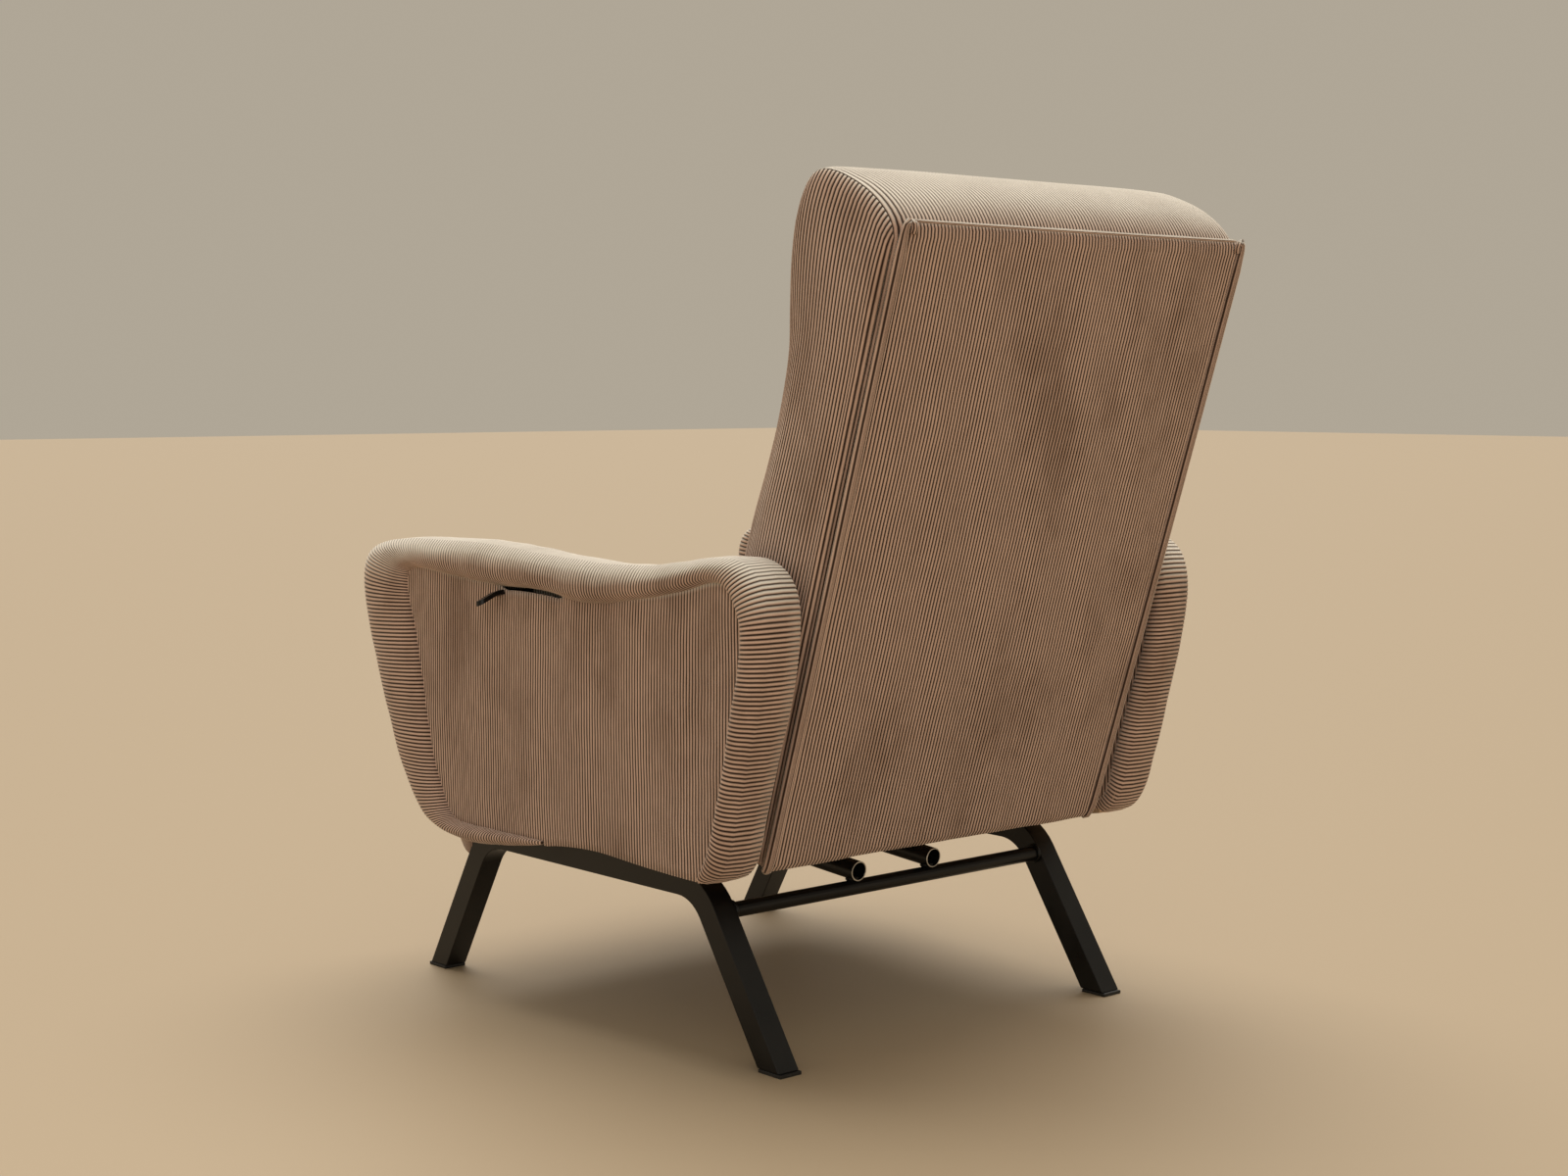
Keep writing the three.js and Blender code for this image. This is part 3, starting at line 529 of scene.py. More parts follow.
class Surface:
    """A material with one Principled shader, and short ways to feed it."""

    def __init__(self, name, **constants):
        self.material = bpy.data.materials.new(name)
        self.material.use_nodes = True
        self.tree = self.material.node_tree
        self.shader = self.tree.nodes["Principled BSDF"]
        for socket, value in constants.items():
            self.shader.inputs[socket.replace("_", " ")].default_value = value

    def add(self, kind, settings=None, **inputs):
        """Adds a node: its settings first, then the values or links of its sockets."""
        node = self.tree.nodes.new(kind)
        for key, value in (settings or {}).items():
            setattr(node, key, value)
        for key, value in inputs.items():
            self.feed(node.inputs[int(key[1:])] if key[1:].isdigit() else node.inputs[key], value)
        return node

    def feed(self, socket, value):
        """Links a value or socket to an input, or sets a plain number or colour on it."""
        if isinstance(value, Value):
            value = value.socket
        if isinstance(value, bpy.types.NodeSocket):
            self.tree.links.new(value, socket)
        else:
            socket.default_value = value

    def math(self, operation, *values):
        node = self.add("ShaderNodeMath", {"operation": operation})
        for socket, value in zip(node.inputs, values):
            self.feed(socket, value)
        return Value(self, node.outputs[0])

    def mix(self, factor, first, second):
        """One colour turning into another."""
        node = self.add("ShaderNodeMix", {"data_type": "RGBA"}, Factor=factor, _6=first, _7=second)
        return node.outputs[2]

    def noise(self, vector, scale, detail, roughness):
        """Soft noise from 0 to 1."""
        node = self.add(
            "ShaderNodeTexNoise", Vector=vector, Scale=scale, Detail=detail, Roughness=roughness
        )
        return Value(self, node.outputs["Fac"])

    def place(self, scale=(1.0, 1.0, 1.0)):
        """Object coordinates, stretched."""
        coordinates = self.add("ShaderNodeTexCoord").outputs["Object"]
        return self.add("ShaderNodeMapping", Vector=coordinates, Scale=scale).outputs[0]

    def range(self, value, low, high, first=0.0, last=1.0):
        """Goes from first to last as the value goes from low to high, and stays there."""
        node = self.add("ShaderNodeMapRange", Value=value)
        for socket, number in zip(node.inputs[1:5], (low, high, first, last)):
            socket.default_value = number
        return Value(self, node.outputs[0])

    def bump(self, height, strength, distance, normal=None):
        node = self.add("ShaderNodeBump", Height=height, Strength=strength, Distance=distance)
        if normal is not None:
            self.feed(node.inputs["Normal"], normal)
        return node.outputs[0]

    def colour(self, value):
        self.feed(self.shader.inputs["Base Color"], value)

    def set(self, socket, value):
        self.feed(self.shader.inputs[socket], value)


# The corduroy's painted shade in the grooves, its colour where it is worn, and the pale painted
# sheen on the surfaces that face up.
PAINTED_GROOVE_SHADE = (0.026, 0.013, 0.008)
RUBBED = (0.235, 0.130, 0.080)
PAINTED_TOP_SHEEN = (0.90, 0.87, 0.79)


def shade(colour, factor=1.0):
    """A colour made lighter or darker, with its alpha."""
    return tuple(min(1.0, part * factor) for part in colour[:3]) + (1.0,)


def corduroy(base):
    """Wide-ribbed corduroy: painted shade in the grooves, painted highlights on the rib tops, a pale
    painted sheen on the surfaces that face up, and patchy nap.
    """
    cloth = Surface(
        "ribbed_corduroy", Roughness=0.96, Sheen_Weight=0.65, Sheen_Roughness=0.38,
        Sheen_Tint=(1.0, 0.93, 0.83, 1.0), Specular_IOR_Level=0.10,
    )
    ribs = cloth.add("ShaderNodeUVMap", {"uv_map": "ribs"}).outputs[0]
    parts = cloth.add("ShaderNodeSeparateXYZ", Vector=ribs)
    number = Value(cloth, parts.outputs["X"])
    along = Value(cloth, parts.outputs["Y"])
    spot = cloth.place()
    wander = cloth.noise(spot, 60.0, 1.0, 0.5)
    phase = number + (wander - 0.5) * 0.06
    phase = phase - phase.math("FLOOR")
    # 0 on the rib's top and 1 in the groove.
    from_top = (phase - 0.5).math("ABSOLUTE") * 2.0
    # Where the painted shade in the grooves goes.
    groove = cloth.range(from_top, 0.36, 0.80)
    crest = cloth.range(from_top, 0.60, 0.0)
    patches = cloth.noise(cloth.place((1.0, 1.0, 0.55)), 11.0, 4.0, 0.62)
    rib = number.math("FLOOR")
    streaks = cloth.add("ShaderNodeCombineXYZ", X=rib * 0.73, Y=along * 34.0).outputs[0]
    pile = cloth.noise(streaks, 1.0, 3.0, 0.6)
    fibres = cloth.noise(spot, 1500.0, 2.0, 0.6)
    # A painted highlight on the rib tops, with the rib flanks painted darker as if in shade.
    brown = cloth.mix(crest, shade(base, 0.84), shade(base, 1.38))
    brown = cloth.mix(cloth.range(pile, 0.40, 0.72) * 0.40, brown, shade(base, 1.50))
    brown = cloth.mix(cloth.range(patches, 0.50, 0.74) * 0.50, brown, shade(RUBBED))
    brown = cloth.mix(cloth.range(patches, 0.48, 0.28) * 0.30, brown, shade(base, 1.45))
    brown = cloth.mix(cloth.range(fibres, 0.42, 0.70) * 0.30, brown, shade(base, 0.62))
    # A pale painted sheen, standing in for light from above, on the surfaces that face up: the top
    # of the arms, the head and the seat.
    normal = cloth.add("ShaderNodeTexCoord").outputs["Normal"]
    upwards = Value(cloth, cloth.add("ShaderNodeSeparateXYZ", Vector=normal).outputs["Z"])
    places = cloth.add("ShaderNodeSeparateXYZ", Vector=spot)
    height = Value(cloth, places.outputs["Z"])
    # On the head the painted sheen goes only on the very top, and on the arms only on the top of the
    # roll.
    upwards = upwards - cloth.range(height, 0.70, 0.90, 0.0, 0.27)
    on_arm = cloth.range(Value(cloth, places.outputs["X"]).math("ABSOLUTE"), 0.290, 0.305)
    under_top = cloth.range(height, 0.525, 0.500)
    flat = cloth.range(upwards, 0.0, 0.50) * (1.0 - on_arm * under_top)
    # flat is the mask of the pale painted sheen on the surfaces that face up.
    brown = cloth.mix(flat * (1.0 - patches * 0.3), brown, shade(PAINTED_TOP_SHEEN, 1.06))
    # Painted shade in the grooves, weaker on the tops that take the painted sheen.
    brown = cloth.mix(groove * (0.96 - flat * 0.40), brown, shade(PAINTED_GROOVE_SHADE))
    cloth.colour(brown)
    fuzz = cloth.bump(fibres, 0.35, 0.0008)
    cloth.set("Normal", cloth.bump(pile, 0.30, 0.0014, fuzz))
    return cloth.material


def painted_steel():
    """Satin black paint over tube, with faint orange peel and dust."""
    paint = Surface("satin_black_paint", Specular_IOR_Level=0.3)
    spot = paint.place()
    dust = paint.noise(spot, 24.0, 4.0, 0.6)
    peel = paint.noise(spot, 420.0, 2.0, 0.5)
    dusty = paint.range(dust, 0.35, 0.75)
    paint.colour(paint.mix(dusty, (0.0030, 0.0030, 0.0031, 1), (0.0085, 0.0080, 0.0076, 1)))
    paint.set("Roughness", paint.range(dust, 0.3, 0.75, 0.27, 0.44))
    paint.set("Normal", paint.bump(peel, 0.10, 0.0005))
    return paint.material


def black_plastic():
    """Moulded plastic with a fine matt grain and pale scuffs."""
    plastic = Surface("moulded_black_plastic")
    spot = plastic.place()
    grain = plastic.noise(spot, 900.0, 2.0, 0.6)
    scuffs = plastic.noise(plastic.place((1.0, 1.0, 6.0)), 60.0, 4.0, 0.7)
    scuffed = plastic.range(scuffs, 0.56, 0.72) * 0.6
    plastic.colour(plastic.mix(scuffed, (0.010, 0.010, 0.010, 1), (0.055, 0.050, 0.044, 1)))
    plastic.set("Roughness", plastic.range(scuffs, 0.4, 0.7, 0.48, 0.68))
    plastic.set("Normal", plastic.bump(grain, 0.25, 0.0003))
    return plastic.material


def bare_steel():
    """Drawn steel with fine lengthwise lines and dulled spots."""
    steel = Surface("bare_steel", Metallic=1.0)
    lines = steel.noise(steel.place((1.0, 0.04, 1.0)), 900.0, 2.0, 0.6)
    dull = steel.noise(steel.place(), 45.0, 4.0, 0.6)
    dulled = steel.range(dull, 0.4, 0.7)
    steel.colour(steel.mix(dulled, (0.72, 0.71, 0.69, 1), (0.44, 0.42, 0.39, 1)))
    steel.set("Roughness", steel.range(dull, 0.35, 0.7, 0.26, 0.46))
    steel.set("Normal", steel.bump(lines, 0.12, 0.0003))
    return steel.material


def beech():
    """Planed beech: long pale grain with the short darker flecks of its rays."""
    wood = Surface("planed_beech", Roughness=0.62)
    long_grain = wood.noise(wood.place((14.0, 2.2, 14.0)), 9.0, 5.0, 0.6)
    flecks = wood.noise(wood.place((90.0, 14.0, 90.0)), 9.0, 2.0, 0.5)
    late = wood.range(long_grain, 0.35, 0.68)
    tone = wood.mix(late, (0.46, 0.30, 0.17, 1), (0.60, 0.43, 0.27, 1))
    wood.colour(wood.mix(wood.range(flecks, 0.60, 0.72) * 0.6, tone, (0.28, 0.16, 0.085, 1)))
    wood.set("Normal", wood.bump(long_grain, 0.2, 0.0006))
    return wood.material


def jute():
    """Woven jute straps, as a plain over-and-under weave."""
    strap = Surface("jute_webbing", Roughness=0.93)
    spot = strap.place()
    parts = strap.add("ShaderNodeSeparateXYZ", Vector=spot)
    x, y, z = (Value(strap, parts.outputs[axis]) for axis in "XYZ")
    warp = (x * 1800.0).math("SINE")
    weft = ((y + z) * 1800.0).math("SINE")
    weave = strap.range(warp * weft, -0.6, 0.6)
    slub = strap.noise(spot, 160.0, 3.0, 0.6)
    colour = strap.mix(weave, (0.17, 0.115, 0.060, 1), (0.42, 0.32, 0.19, 1))
    strap.colour(strap.mix(strap.range(slub, 0.4, 0.7) * 0.5, colour, (0.52, 0.42, 0.27, 1)))
    strap.set("Normal", strap.bump(weave, 0.5, 0.0008))
    return strap.material


# The material of each slot but the corduroy's, and what makes it.
FINISHES = {
    "black_paint": ("satin_black_paint", painted_steel),
    "black_plastic": ("moulded_black_plastic", black_plastic),
    "steel": ("bare_steel", bare_steel),
    "beech": ("planed_beech", beech),
    "webbing": ("jute_webbing", jute),
}


def finish_of(slot):
    """A slot's material, made the first time that it is asked for."""
    name, make = FINISHES[slot]
    return bpy.data.materials.get(name) or make()


def corduroy_finish():
    """The one corduroy that every cover shares."""
    return bpy.data.materials.get("ribbed_corduroy") or corduroy(looks().cloth_colour)


# ---- Settings ----


class ReclinerLooks(bpy.types.PropertyGroup):
    """What a user would change about the covers"""

    rib_pitch: bpy.props.FloatProperty(
        name="Rib pitch", description="From one corduroy rib to the next", default=0.005,
        min=0.003, max=0.009, precision=4, subtype="DISTANCE", unit="LENGTH",
    )
    rib_depth: bpy.props.FloatProperty(
        name="Rib depth", description="From a rib's top to the groove", default=0.0013,
        min=0.0, max=0.003, precision=4, subtype="DISTANCE", unit="LENGTH",
    )
    cloth_colour: bpy.props.FloatVectorProperty(
        name="Corduroy", description="Colour of the corduroy's pile", default=(0.575, 0.408, 0.330),
        min=0.0, max=1.0, subtype="COLOR",
    )
    pressure: bpy.props.FloatProperty(
        name="Stuffing", description="How hard the stuffing pushes the covers out", default=4.0,
        min=0.0, max=20.0,
    )


def looks():
    """The sizes and colours that the sidebar shows."""
    return bpy.context.scene.recliner_looks


# ---- Covers ----


def rows_between(first, last, coarse_step, fine_step):
    """Fractional coarse rows from one row to another, about a fine step apart."""
    count = max(1, round((last - first) * coarse_step / fine_step))
    return np.linspace(first, last, count + 1)


def sewn_rows(last, coarse_step, fine_step):
    """Fractional coarse rows from a seam to a seam, closer together beside each."""
    rows = rows_between(0, last, coarse_step, fine_step)
    close = np.array([0.0012, 0.003]) / coarse_step
    return np.unique(np.concatenate([rows, close, last - close]))


def wrapped_cushion(outline, half, foot, lean, crown, bulge, cap, ends, hidden=()):
    """A boxed cushion: one ribbed cover round a side outline, and a ribbed panel at each end.

    outline is the bottom, front, top and rear lines from the unit's foot. half is half the width
    at the bottom and at the top, and how much less it is at the front. crown is how far the cover
    swells between its seams: the numbers of some points round it, counted from the bottom's first,
    and the swell at each. bulge is how far the end panels stand out, low down and at the top. cap
    is the most that the stuffing pushes out. ends is how many coarse cells go along and up the end
    panels. hidden names the runs of the cover that nothing shows, which get no fine rows."""
    cells, ups = ends
    bottom, front, top, rear = (
        even(line, count + 1) for line, count in zip(outline, (cells, ups, cells, ups))
    )
    loop = np.concatenate([bottom[:-1], front[:-1], top[:-1], rear])
    low, high = loop[:, 1].min(), loop[:, 1].max()
    foremost, rearmost = loop[:, 0].min(), loop[:, 0].max()

    def height_share(spots):
        return (spots[..., 1] - low) / (high - low)

    def half_at(spots):
        forward = (rearmost - spots[..., 0]) / (rearmost - foremost)
        return half[0] + (half[1] - half[0]) * height_share(spots) - half[2] * forward

    columns = 44
    across = np.linspace(-1, 1, columns + 1)
    cover = np.zeros((columns + 1, len(loop), 3))
    cover[..., 0] = across[:, None] * half_at(loop)[None]
    around = np.gradient(np.concatenate([loop[-2:-1], loop, loop[1:2]]), axis=0)[1:-1]
    outward = unit(np.stack([around[:, 1], -around[:, 0]], -1))
    if ((loop - loop.mean(0)) * outward).sum() < 0:
        outward = -outward
    # The front and the top swell, and nothing does where the cover meets the frame.
    shown = np.arange(cells, 2 * cells + ups + 1)
    full = np.zeros(len(loop))
    full[shown] = np.interp(shown, *crown)
    swell = (1 - np.abs(across) ** 14) ** 0.5
    cover[..., 1:] = loop[None] + outward[None] * (swell[:, None] * full[None])[..., None]
    side = filled(bottom[::-1], front, top, rear[::-1])
    u = np.linspace(-1, 1, side.shape[0])[:, None]
    v = np.linspace(-1, 1, side.shape[1])[None]
    # The end panels turn in softly at the front and steeply at the rear.
    pillow = (np.where(u < 0, 1 - u ** 2, 1 - u ** 8) * (1 - v ** 6)) ** 0.42 * (3 + u) / 4
    plump = bulge[0] + (bulge[1] - bulge[0]) * np.clip(height_share(side), 0, 1) ** 3
    wide = half_at(side) + pillow * plump
    panels = [np.concatenate([(sign * wide)[..., None], side], -1) for sign in (-1, 1)]
    held_cover = np.zeros(cover.shape[:-1], bool)
    held_cover[0] = held_cover[-1] = True
    held_cover[:, :cells + 1] = True
    held_cover[:, shown[-1] + 1:] = "rear" in hidden
    grids = [tilted(grid, foot, lean) for grid in (cover, *panels)]
    held = [held_cover, edge_mask(panels[0]), edge_mask(panels[1])]
    cover, *panels = simulate(grids, held, looks().pressure, cap)

    corners = np.cumsum([0, cells, ups, cells, ups])
    rows = []
    for run, first, last in zip(("bottom", "front", "top", "rear"), corners[:-1], corners[1:]):
        length = run_length(loop[first:last + 1])[-1]
        step = length / 3 if run in hidden else COVER_STEP
        rows.extend(rows_between(first, last, length / (last - first), step)[:-1])
    rows = np.array(rows)
    shell = Shell()
    body = shell.grid(*ribbed(cover, ribs_in(2 * half[0]), rows, 1), closed=True)
    # The seams start at the lower front corner, as the end panels do.
    start = int(np.searchsorted(rows, cells))
    for sign, panel, rim in ((-1, panels[0], body[0, :-1]), (1, panels[1], body[-1, :-1])):
        ribs = max(3, ribs_in(run_length(panel[:, panel.shape[1] // 2])[-1]))
        length = run_length(panel[0])[-1]
        fine = sewn_rows(ups, length / ups, END_PANEL_STEP)
        numbers = shell.grid(*ribbed(panel, ribs, fine, sign, sewn=True))
        chain = np.concatenate(
            [numbers[0], numbers[1:, -1], numbers[-1, -2::-1], numbers[-2::-1, 0]]
        )
        rim = np.roll(rim, -start)
        shell.seam(np.append(rim, rim[0]), chain)
    return shell


def welt(route, radius):
    """A plain round welt along a route on the tilted back, with closed ends."""
    route = tilted(route, BACK_FOOT, BACK_LEAN)
    sides = 10
    along = unit(np.gradient(route, axis=0))
    reference = np.array([1.0, 0.0, 0.0])
    if abs(along[len(along) // 2] @ reference) > 0.8:
        reference = np.array([0.0, 0.0, 1.0])
    first = unit(np.cross(along, reference))
    second = np.cross(along, first)
    angle = np.linspace(0, 2 * math.pi, sides, endpoint=False)
    size = np.broadcast_to(radius, len(route))[:, None, None]
    cosine, sine = np.cos(angle)[None, :, None], np.sin(angle)[None, :, None]
    ring = cosine * first[:, None] + sine * second[:, None]
    run = run_length(route)
    where = np.stack(np.broadcast_arrays(angle[None] * 3 / math.pi, run[:, None]), -1)
    shell = Shell()
    shell.bar(route[:, None] + ring * size, where)
    return shell


def finish_cloth(shell, name, body, *nodes, fill=None):
    """Makes a shell a corduroy piece that rides on a body and stands for frame nodes."""
    piece = shell.piece(name, corduroy_finish())
    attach(piece, body)
    if nodes:
        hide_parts(*nodes)


# ---- Operators, one for each piece or group of like pieces ----


class BuildBackCushion(bpy.types.Operator):
    """Pads and covers the reclining back"""

    bl_idname = "recliner.back_cushion"
    bl_label = "Back cushion"

    def execute(self, context):
        shell = wrapped_cushion(
            (BACK_BOTTOM, BACK_FRONT, BACK_TOP, BACK_REAR),
            half=(0.2645, 0.2730, 0.006), foot=BACK_FOOT, lean=BACK_LEAN,
            crown=((16, 19, 76, 84, 91, 92), (0.0, 0.002, 0.002, 0.004, 0.0105, 0.0100)),
            bulge=(0.009, 0.017), cap=0.006, ends=(16, 60), hidden=("bottom", "rear"),
        )
        finish_cloth(shell, "back_cushion_cover", "backrest", "back_cushion", fill=0.8)
        return {"FINISHED"}


class BuildSeatCushion(bpy.types.Operator):
    """Pads and covers the seat"""

    bl_idname = "recliner.seat_cushion"
    bl_label = "Seat cushion"

    def execute(self, context):
        shell = wrapped_cushion(
            (SEAT_BOTTOM, SEAT_FRONT, SEAT_TOP, SEAT_REAR),
            half=(0.2795, 0.2795, 0.0), foot=SEAT_FOOT, lean=SLOPE,
            crown=((48, 52, 56, 100, 104), (0.0, 0.004, 0.006, 0.006, 0.0)),
            bulge=(0.001, 0.001), cap=0.018, ends=(48, 8), hidden=("bottom",),
        )
        finish_cloth(shell, "seat_cushion_cover", "seat", "seat_cushion", fill=0.8)
        return {"FINISHED"}


class BuildSeatBorder(bpy.types.Operator):
    """Covers the seat's front rail and the front of its side rails"""

    bl_idname = "recliner.seat_border"
    bl_label = "Seat border"

    def execute(self, context):
        route = even(BORDER_ROUTE, 24)
        half = 0.2815
        across = np.linspace(-half, half, 41)
        coarse = np.zeros((len(across), len(route), 3))
        coarse[..., 0] = across[:, None]
        coarse[..., 1:] = route[None]
        coarse = tilted(coarse, SEAT_FOOT, SLOPE)
        every_third = slice(None, None, -3)
        rows = np.linspace(0, len(route) - 1, 16)
        points, where = ribbed(coarse, ribs_in(2 * half), rows, 1)
        shell = Shell()
        shell.lined(points, where, points[:, every_third] + (0, 0.0012, 0.0008), every_third)
        # It turns back along the side rails as far as they come out of the arms.
        front, rear = -0.0035, 0.200
        spots = np.linspace(front, rear, 24), np.linspace(-0.001, 0.0355, 7)
        spots = np.meshgrid(*spots, indexing="ij")
        for sign in (-1, 1):
            face = np.full(spots[0].shape, sign * 0.2830)
            strip = tilted(np.stack([face, *spots], -1), SEAT_FOOT, SLOPE)
            points, where = ribbed(strip, ribs_in(rear - front), np.arange(7.0), sign)
            lining = points[:, every_third].copy()
            lining[..., 0] = sign * 0.2802
            shell.lined(points, where, lining, every_third)
        finish_cloth(shell, "seat_border_cover", "seat")
        return {"FINISHED"}


class BuildFootrest(bpy.types.Operator):
    """Pads and covers the pull-out footrest"""

    bl_idname = "recliner.footrest"
    bl_label = "Footrest"

    def execute(self, context):
        shell = wrapped_cushion(
            (FOOTREST_BOTTOM, FOOTREST_FRONT, FOOTREST_TOP, FOOTREST_REAR),
            half=(0.2725, 0.2725, 0.0), foot=FOOTREST_FOOT, lean=SLOPE,
            crown=((12, 15, 33, 36), (0.0, 0.003, 0.003, 0.0)),
            bulge=(0.001, 0.001), cap=0.006, ends=(12, 12),
        )
        finish_cloth(
            shell, "footrest_cover", "footrest", "footrest_pad", "footrest_board", fill=0.7
        )
        return {"FINISHED"}


def roll_grid(sign):
    """The coarse cover of one arm's roll: [along the arm's outline, over the roll]."""
    stations = even(ROLL_STATIONS, 190)
    crest, border = stations[:, :2], stations[:, 2:]
    # The front of the roll is stuffed fuller than the rest.
    fuller = 1 + 0.05 * np.clip((-0.17 - crest[:, :1]) / 0.09, 0, 1)
    reach = (crest - border) * fuller
    section = even(ROLL_SECTION, 15)
    out, x = section[:, 0], section[:, 1]
    # Past the crest the section turns in over a fixed depth, however wide the roll is.
    fixed_depth = 0.042
    depth = np.linalg.norm(reach, axis=1)[:, None]
    inner = np.arange(len(out)) > int(np.argmax(out))
    turned_in = 1 - np.minimum((1 - out[None]) * fixed_depth / depth, 0.9)
    share = np.where(inner[None], turned_in, out[None])
    # The roll dies away where it ends under the arm.
    dying_length = 0.15
    proud = np.clip(run_length(crest)[:, None] / dying_length, 0, 1) ** 0.7
    beyond = x[None] - BORDER_X
    points = np.zeros((len(stations), len(out), 3))
    points[..., 0] = sign * (BORDER_X + beyond * np.where(beyond > 0, proud, 1))
    points[..., 1:] = border[:, None] + reach[:, None] * share[..., None]
    return points


class BuildArmRolls(bpy.types.Operator):
    """Pads and covers the roll round each arm"""

    bl_idname = "recliner.arm_rolls"
    bl_label = "Arm rolls"

    def execute(self, context):
        for side, sign in (("left", 1), ("right", -1)):
            coarse = roll_grid(sign)
            (coarse,) = simulate([coarse], [edge_mask(coarse)], looks().pressure * 0.8, 0.004)
            ribs = ribs_in(run_length(coarse[:, 5])[-1])
            rows = np.linspace(0, coarse.shape[1] - 1, 20)
            shell = Shell()
            shell.bar(*ribbed(coarse, ribs, rows, sign, 0.0010, 41 + sign))
            finish_cloth(
                shell, f"arm_roll_cover_{side}", "base_and_arms", f"arm_roll_{side}", fill=0.8
            )
        return {"FINISHED"}


def chains_of_panel(border):
    """Splits a closed border that never doubles back in y into its lower and upper chains."""
    front, rear = int(np.argmin(border[:, 0])), int(np.argmax(border[:, 0]))
    loop = np.roll(border, -front, axis=0)
    turn = (rear - front) % len(border)
    one, other = loop[:turn + 1], np.concatenate([loop[turn:], loop[:1]])[::-1]
    lower, upper = (one, other) if one[:, 1].mean() < other[:, 1].mean() else (other, one)
    return lower, upper


def panel_shell(border, x, outward, thickness, bulge, seed, notch=None):
    """A flat board under ribbed cloth, cut to a border [y, z], with its ribs upright."""
    lower, upper = chains_of_panel(border)
    ends = border[:, 0].min(), border[:, 0].max()
    columns = 60
    y = np.linspace(ends[0] + 0.001, ends[1] - 0.001, columns + 1)
    low = np.interp(y, lower[:, 0], lower[:, 1])
    high = np.interp(y, upper[:, 0], upper[:, 1])
    if notch is not None:
        high = notch(y, high)
    ups = np.linspace(0, 1, 9)
    coarse = np.zeros((columns + 1, len(ups), 3))
    along = (y - ends[0]) / (ends[1] - ends[0])
    lengthwise, upright = (4 * share * (1 - share) for share in (along, ups))
    coarse[..., 0] = x + outward * bulge * lengthwise[:, None] ** 0.5 * upright[None] ** 0.5
    coarse[..., 1] = y[:, None]
    coarse[..., 2] = low[:, None] + (high - low)[:, None] * ups[None]
    rows = np.linspace(0, len(ups) - 1, 34)
    points, where = ribbed(coarse, ribs_in(ends[1] - ends[0]), rows, outward, 0.0007, seed)
    back = points[:, [-1, 0]].copy()
    back[..., 0] = x - outward * thickness
    shell = Shell()
    shell.lined(points, where, back, [-1, 0])
    return shell


def slot_notch(y, high):
    """Lowers the panel's top edge to open the slot for the release lever."""
    after_front = np.clip((y - SLOT_Y[0]) / SLOT_EDGE, 0, 1)
    before_rear = np.clip((SLOT_Y[1] - y) / SLOT_EDGE, 0, 1)
    return high - SLOT_DROP * (after_front * before_rear)


class BuildArmPanels(bpy.types.Operator):
    """Covers the outer and inner boards of each arm"""

    bl_idname = "recliner.arm_panels"
    bl_label = "Arm panels"

    def execute(self, context):
        border = ROLL_STATIONS[:, 2:]
        reach = ROLL_STATIONS[:, :2] - border
        tucked = border + unit(reach) * 0.004
        outer = np.concatenate([even(tucked, 160), even(ARM_UNDERSIDE, 30)])
        inner_edge = ROLL_STATIONS[:, :2] - unit(reach) * 0.018
        inner = np.concatenate([even(inner_edge, 160), even(ARM_UNDERSIDE + (0, 0.006), 30)])
        for side, sign in (("left", 1), ("right", -1)):
            notch = slot_notch if side == "left" else None
            shell = panel_shell(outer, sign * 0.3375, sign, 0.0035, 0.003, 51, notch)
            finish_cloth(
                shell, f"arm_outer_cover_{side}", "base_and_arms", f"arm_outer_panel_{side}"
            )
            shell = panel_shell(inner, sign * 0.2892, -sign, 0.0025, 0.0012, 57)
            finish_cloth(
                shell, f"arm_inner_cover_{side}", "base_and_arms", f"arm_inner_panel_{side}"
            )
        return {"FINISHED"}


class BuildOutsideBack(bpy.types.Operator):
    """Covers the outside of the back, with its rolled edges and the tacking line over it"""

    bl_idname = "recliner.outside_back"
    bl_label = "Outside back"

    def execute(self, context):
        route = even(OUTSIDE_BACK, 60)
        across = np.linspace(-1, 1, 41)
        half = np.interp(route[:, 1], (0.0, 0.70), (0.2565, 0.2612))
        height = np.clip(np.sin(math.pi * (route[:, 1] + 0.02) / 0.73), 0, 1)
        coarse = np.zeros((len(across), len(route), 3))
        coarse[..., 0] = across[:, None] * half[None]
        coarse[..., 1] = route[None, :, 0] + 0.003 * ((1 - across**4)[:, None] * height)
        coarse[..., 2] = route[None, :, 1]
        coarse = tilted(coarse, BACK_FOOT, BACK_LEAN)
        rows = np.linspace(0, len(route) - 1, 84)
        points, where = ribbed(coarse, ribs_in(0.524), rows, -1, 0.0007, 61)
        rear = np.array([math.cos(BACK_LEAN), -math.sin(BACK_LEAN)])
        back = points[:, [-1, 0]].copy()
        back[:, 0, 1:] -= rear * 0.004
        back[:, 1, 1:] += (0.0, 0.004)
        shell = Shell()
        shell.lined(points, where, back, [-1, 0])
        finish_cloth(shell, "outside_back_cover", "backrest", "outside_back_panel")
        for side, sign in (("left", 1), ("right", -1)):
            route = even(EDGE_ROLL * (sign, 1, 1), 130)
            # It thins at its foot and where it hooks in at the top.
            ends = (0, 0.02, 0.70, 0.735)
            radius = np.interp(run_length(route), ends, (0.0048, 0.0060, 0.0060, 0.0034))
            finish_cloth(welt(route, radius), f"back_edge_roll_{side}", "backrest")
        x = np.linspace(-0.256, 0.256, 60)
        line = np.stack([x, 0.0065 + 0.003 * (1 - (x / 0.26) ** 4), np.full(60, 0.7085)], -1)
        finish_cloth(welt(line, 0.0016), "back_tack_line", "backrest")
        return {"FINISHED"}


